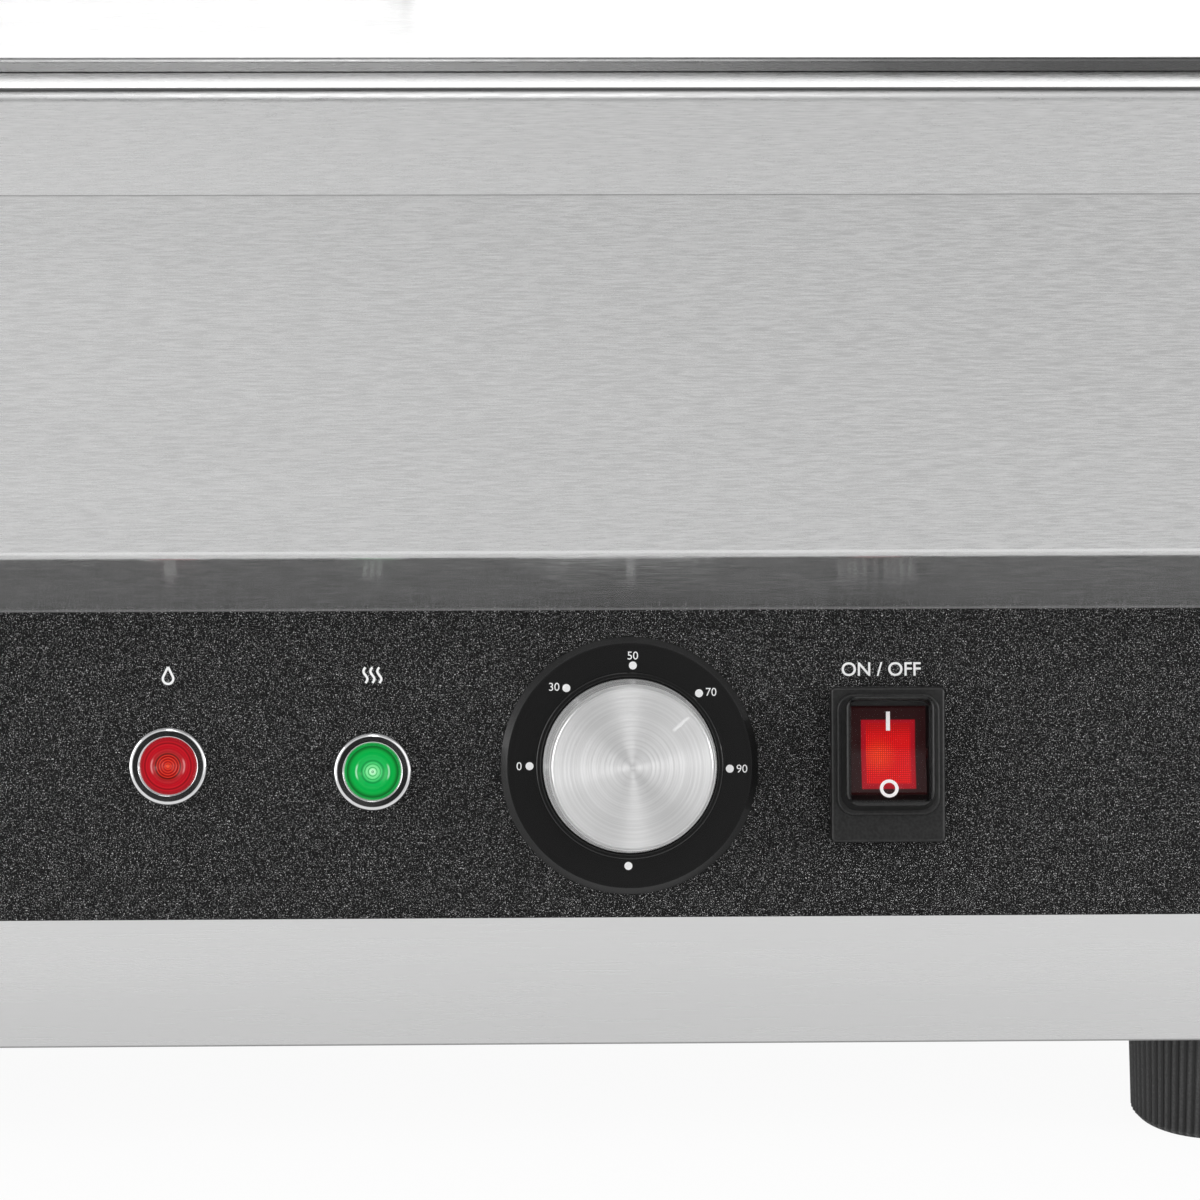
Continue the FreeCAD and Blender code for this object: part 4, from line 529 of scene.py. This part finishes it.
wear(lens("red_lens", DRY_LAMP, RED_STOPS, (0.85, 0.05, 0.02), (0.75, 0.3, 0.3), 0.0006),
     "dry_lamp_lens")
wear(lens("green_lens", HEAT_LAMP, GREEN_STOPS, (0.0, 0.3, 0.06), (0.5, 0.85, 0.6), 0.0008),
     "heat_lamp_lens")

wear(foot_rubber(), "foot_front_left", "foot_front_right", "foot_rear_left", "foot_rear_right")


# Flat shapes for marks, each as points and faces about its middle


def disc(radius, inner=0.0, count=48):
    """Flat disc, or a ring with an inner radius."""
    turns = [2 * math.pi * i / count for i in range(count)]
    points = [(radius * math.cos(t), radius * math.sin(t), 0.0) for t in turns]
    if not inner:
        return points, [tuple(range(count))]
    points += [(inner * math.cos(t), inner * math.sin(t), 0.0) for t in turns]
    faces = []
    for i in range(count):
        j = (i + 1) % count
        faces.append((i, j, count + j, count + i))
    return points, faces


def bar(width, height):
    x, y = width / 2, height / 2
    return [(-x, -y, 0.0), (x, -y, 0.0), (x, y, 0.0), (-x, y, 0.0)], [(0, 1, 2, 3)]


def ribbon(line, width):
    """Flat band of even width along a line of points."""
    points = []
    for i, (x, y) in enumerate(line):
        before = line[max(i - 1, 0)]
        after = line[min(i + 1, len(line) - 1)]
        run = Vector((after[0] - before[0], after[1] - before[1])).normalized() * width / 2
        points += [(x - run.y, y + run.x, 0.0), (x + run.y, y - run.x, 0.0)]
    faces = [(2 * i, 2 * i + 1, 2 * i + 3, 2 * i + 2) for i in range(len(line) - 1)]
    return points, faces


def words(text, height, weight):
    """Plain lettering of a height, thickened by a weight."""
    curve = bpy.data.curves.new("words", "FONT")
    curve.body = text
    curve.offset = weight
    curve.resolution_u = 6
    carrier = bpy.data.objects.new("words", curve)
    mesh = bpy.data.meshes.new_from_object(carrier)
    low = [min(v.co[k] for v in mesh.vertices) for k in (0, 1)]
    high = [max(v.co[k] for v in mesh.vertices) for k in (0, 1)]
    scale = height / (high[1] - low[1])
    centre = [(low[k] + high[k]) / 2 for k in (0, 1)]
    points = [((v.co.x - centre[0]) * scale, (v.co.y - centre[1]) * scale, 0.0)
              for v in mesh.vertices]
    faces = [tuple(p.vertices) for p in mesh.polygons]
    bpy.data.objects.remove(carrier)
    bpy.data.curves.remove(curve)
    bpy.data.meshes.remove(mesh)
    return points, faces


# Marks


def show(name, data):
    made = bpy.data.objects.new(name, data)
    bpy.context.scene.collection.objects.link(made)
    return made


def flat(name, points, faces, material):
    mesh = bpy.data.meshes.new(name)
    mesh.from_pydata(points, [], faces)
    mesh.materials.append(material)
    return show(name, mesh)


def piece(name, shape, place, material, body):
    """A mark of its own, riding on a body."""
    made = flat(name, *shape, material)
    made.matrix_world = place
    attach(made, body)


def printed(name, shape, u, v, height=0.0, slot="black_powder_coat"):
    """White print on the panel, or at a height over it on the dial."""
    place = PANEL @ Matrix.Translation((u, v, height + MARK_LIFT))
    piece(name, shape, place, WHITE, "body")


WHITE = ink("white_print", grey(0.94 * 0.86), grey(0.86))
LIT_WHITE = ink("lit_print", (0.82, 0.78, 0.78), (0.88, 0.86, 0.86), glow=0.5)
WORDS_PLACE = (0.1645, 0.0214)
WORDS_CAP = 0.0032
WORDS_WEIGHT = 0.012
SIGN_UP = 0.0205
STROKE = 0.00055

printed("switch_words", words("ON / OFF", WORDS_CAP, WORDS_WEIGHT), *WORDS_PLACE)

# Above the right lamp three heat waves, above the left one a water drop
WAVE_STEP = 0.0016
WAVE_SWAY = 0.00045
WAVE_HEIGHT = 0.0036
WAVE_PARTS = 24
for i in range(3):
    wave = [((i - 1) * WAVE_STEP + WAVE_SWAY * math.sin(2 * math.pi * k / WAVE_PARTS),
             WAVE_HEIGHT * (k / WAVE_PARTS - 0.5)) for k in range(WAVE_PARTS + 1)]
    printed(f"heat_wave_{i + 1}", ribbon(wave, STROKE), HEAT_LAMP[0], SIGN_UP)

DROP_TIP = (0.0, 0.0021)
DROP_RADIUS = 0.0012
DROP_DOWN = 0.0006
DROP_PARTS = 32
turns = [math.radians(150 + 240 * k / DROP_PARTS) for k in range(DROP_PARTS + 1)]
belly = [(DROP_RADIUS * math.cos(t), DROP_RADIUS * math.sin(t) - DROP_DOWN) for t in turns]
printed("water_drop", ribbon([DROP_TIP] + belly + [DROP_TIP], STROKE), DRY_LAMP[0], SIGN_UP)

# Round the dial: a turn from the top in degrees, a number, and its shift off the dot
DIAL_MARKS = [(-90, "0", (-0.0024, 0.0)), (-39, "30", (-0.0028, 0.0003)), (2, "50", (0.0, 0.0023)),
              (44, "70", (0.0028, 0.0003)), (92, "90", (0.0028, 0.0)), (181, "", (0.0, 0.0))]
DIAL_CAP = 0.00185
DOT_CIRCLE = 0.0231
DOT_RADIUS = 0.00092
for i, (turn, text, shift) in enumerate(DIAL_MARKS):
    angle = math.radians(turn)
    u = DIAL[0] + DOT_CIRCLE * math.sin(angle)
    v = DIAL[1] + DOT_CIRCLE * math.cos(angle)
    printed(f"dial_dot_{i + 1}", disc(DOT_RADIUS), u, v, DIAL_FACE, "black_gloss")
    if text:
        printed(f"dial_mark_{i + 1}", words(text, DIAL_CAP, 0.0), u + shift[0], v + shift[1],
                DIAL_FACE, "black_gloss")

# Pointer paint in the knob's groove
POINTER_TURN = math.radians(-48)
GROOVE_DEPTH = 0.00034
POINTER_OUT = 0.01485
POINTER_SIZE = (0.0008, 0.0049)
KNOB = (PANEL @ Matrix.Translation((DIAL[0], DIAL[1], KNOB_FACE - GROOVE_DEPTH))
        @ Matrix.Rotation(POINTER_TURN, 4, "Z"))
piece("pointer_paint", bar(*POINTER_SIZE), KNOB @ Matrix.Translation((0.0, POINTER_OUT, 0.0)),
      WHITE, "knob")

# Rocker marks: its face tilts about a pivot and slopes up from its middle to both ends
PIVOT_DEPTH = 0.002
ROCKER_TILT = math.radians(-9)
ROCKER_FACE = 0.0026
ROCKER_RISE = 0.0016
ROCKER_HALF = 0.0104
ROCKER_SLOPE = math.atan2(ROCKER_RISE, ROCKER_HALF)
ROCKER = (PANEL @ Matrix.Translation((SWITCH[0], SWITCH[1], -PIVOT_DEPTH))
          @ Matrix.Rotation(ROCKER_TILT, 4, "X") @ Matrix.Translation((0.0, 0.0, PIVOT_DEPTH)))


def on_rocker(v):
    height = ROCKER_FACE + ROCKER_RISE * abs(v) / ROCKER_HALF + 2 * MARK_LIFT
    slope = Matrix.Rotation(math.copysign(ROCKER_SLOPE, v), 4, "X")
    return ROCKER @ Matrix.Translation((0.0, v, height)) @ slope


ON_SIZE, ON_UP = (0.00092, 0.0044), 0.0068
OFF_RADII, OFF_UP = (0.00216, 0.00138), -0.0089
piece("rocker_on_mark", bar(*ON_SIZE), on_rocker(ON_UP), LIT_WHITE, "rocker")
piece("rocker_off_mark", disc(*OFF_RADII), on_rocker(OFF_UP), LIT_WHITE, "rocker")


# Studio

FLOOR_SIDE = 12.0
FLOOR_WHITE = 0.94  # Of what the camera sees; the rest is lit, and holds the shadow

# The world's level round the object, what its bright areas add, the share that its dark area
# above takes off, and the direction of the dark patch in front and the share left there
WORLD_LEVEL = 0.78
REAR_LEVEL = 0.4
LOW_LEVEL = 1.3
LEFT_LEVEL = 0.4
STRIP_LEVEL = 2.5
ABOVE_LOSS = 0.7
FRONT_DIRECTION = (-0.03, -0.956, 0.292)
FRONT_DARK = 0.03


def floor():
    """Pale floor: white to the camera but for a faint shadow, softly graded in reflections."""
    f = Finish("floor", grey(0.86), 0.8)
    paths = f.node("LightPath").outputs
    x, y, _ = f.axes(f.coords())
    away = f.span(y, -0.6, -1.7, 1.0, 0.82)
    across = f.span(x, -0.3, 0.45, 1.05, 0.8)
    graded = f.add(1.0, f.times(f.span(y, -0.4, -0.75), f.minus(f.times(away, across), 1.0)))
    near = f.span(y, -0.24, -0.5, 0.45, 0.95)
    mirrored = f.math("MAXIMUM", paths["Is Glossy Ray"], paths["Is Transmission Ray"])
    share = f.add(f.times(paths["Is Camera Ray"], FLOOR_WHITE), f.times(mirrored, near))
    level = f.add(paths["Is Camera Ray"], f.times(mirrored, graded))
    white = f.node("Emission", {"Strength": level})
    mixed = f.node("MixShader", {0: share, 1: f.shader.outputs[0], 2: white.outputs[0]})
    f.put(f.tree.nodes["Material Output"].inputs["Surface"], mixed.outputs[0])
    made = flat("floor", *bar(FLOOR_SIDE, FLOOR_SIDE), f.material)


def world():
    """White to the camera; for the object bright low behind, dark above, soft in front."""
    made = bpy.data.worlds.new("studio")
    bpy.context.scene.world = made
    made.use_nodes = True
    g = Graph(made.node_tree)
    # Each axis of a direction runs from -1 to 1: x to the right, y away from the camera, z up
    x, y, z = g.axes(g.coords("Generated"))
    behind = g.span(y, 0.1, 0.5)
    rear = g.times(behind, g.span(z, 0.62, 0.8, 1.0, 0.0))
    low = g.times(behind, g.span(z, 0.34, 0.48, 1.0, 0.0))
    left = g.times(g.span(x, -0.75, -0.6, 1.0, 0.0), g.span(z, 0.25, 0.45, 1.0, 0.0))
    strip = g.times(g.span(g.size(x), 0.03, 0.09, 1.0, 0.0), g.span(z, 0.5, 0.6))
    strip = g.times(strip, g.span(y, -0.1, 0.0, 1.0, 0.0))
    level = WORLD_LEVEL
    for area, gain in ((rear, REAR_LEVEL), (low, LOW_LEVEL), (left, LEFT_LEVEL),
                       (strip, STRIP_LEVEL)):
        level = g.add(level, g.times(area, gain))
    above = g.times(g.span(z, 0.72, 0.86), g.span(y, -0.5, -0.3))
    level = g.times(level, g.minus(1.0, g.times(above, ABOVE_LOSS)))
    ahead = g.vector("DOT_PRODUCT", g.coords("Generated"), FRONT_DIRECTION)
    level = g.times(level, g.span(ahead, 0.97, 0.993, 1.0, FRONT_DARK))
    camera_ray = g.node("LightPath").outputs["Is Camera Ray"]
    back = next(n for n in g.tree.nodes if n.type == "BACKGROUND")
    g.put(back.inputs["Color"], g.node("Mix", {0: camera_ray, 2: level, 3: 1.0}).outputs[0])
    g.put(back.inputs["Strength"], 1.0)


def lamp(name, place, aim, side, power):
    """Square lamp turned to a place."""
    light = bpy.data.lights.new(name, "AREA")
    light.shape = "RECTANGLE"
    light.size = light.size_y = side
    light.energy = power
    made = show(name, light)
    made.location = place
    made.rotation_mode = "QUATERNION"
    made.rotation_quaternion = (Vector(aim) - Vector(place)).to_track_quat("-Z", "Y")


floor()
world()
FOCUS = (0.09, -0.18, 0.12)
lamp("left", (-1.25, -0.62, 0.55), FOCUS, 1.3, 13.0)
lamp("glint", (1.51, -0.62, 0.42), FOCUS, 0.4, 4.5)
lamp("right", (1.2, -1.2, 0.85), FOCUS, 1.4, 3.5)


# Camera

CAMERA_PLACE = (0.087867, -1.317692, 0.476640)
YAW, PITCH, ROLL = math.radians(1.8), math.radians(16.8), math.radians(0.29)
SENSOR_MM = 36.0
LENS_MM = 156.0


def camera():
    """The photograph's view: a long lens, a little above, turned slightly to the right."""
    ahead = Vector((math.sin(YAW) * math.cos(PITCH), math.cos(YAW) * math.cos(PITCH),
                    -math.sin(PITCH)))
    right = Vector((math.cos(YAW), -math.sin(YAW), 0.0))
    up = right.cross(ahead)
    across = right * math.cos(ROLL) + up * math.sin(ROLL)
    upward = up * math.cos(ROLL) - right * math.sin(ROLL)
    data = bpy.data.cameras.new("camera")
    data.sensor_width = SENSOR_MM
    data.lens = LENS_MM
    made = show("camera", data)
    turn = Matrix((across, upward, -ahead)).transposed().to_4x4()
    made.matrix_world = Matrix.Translation(CAMERA_PLACE) @ turn
    bpy.context.scene.camera = made


camera()
bpy.context.scene.view_settings.view_transform = "Standard"
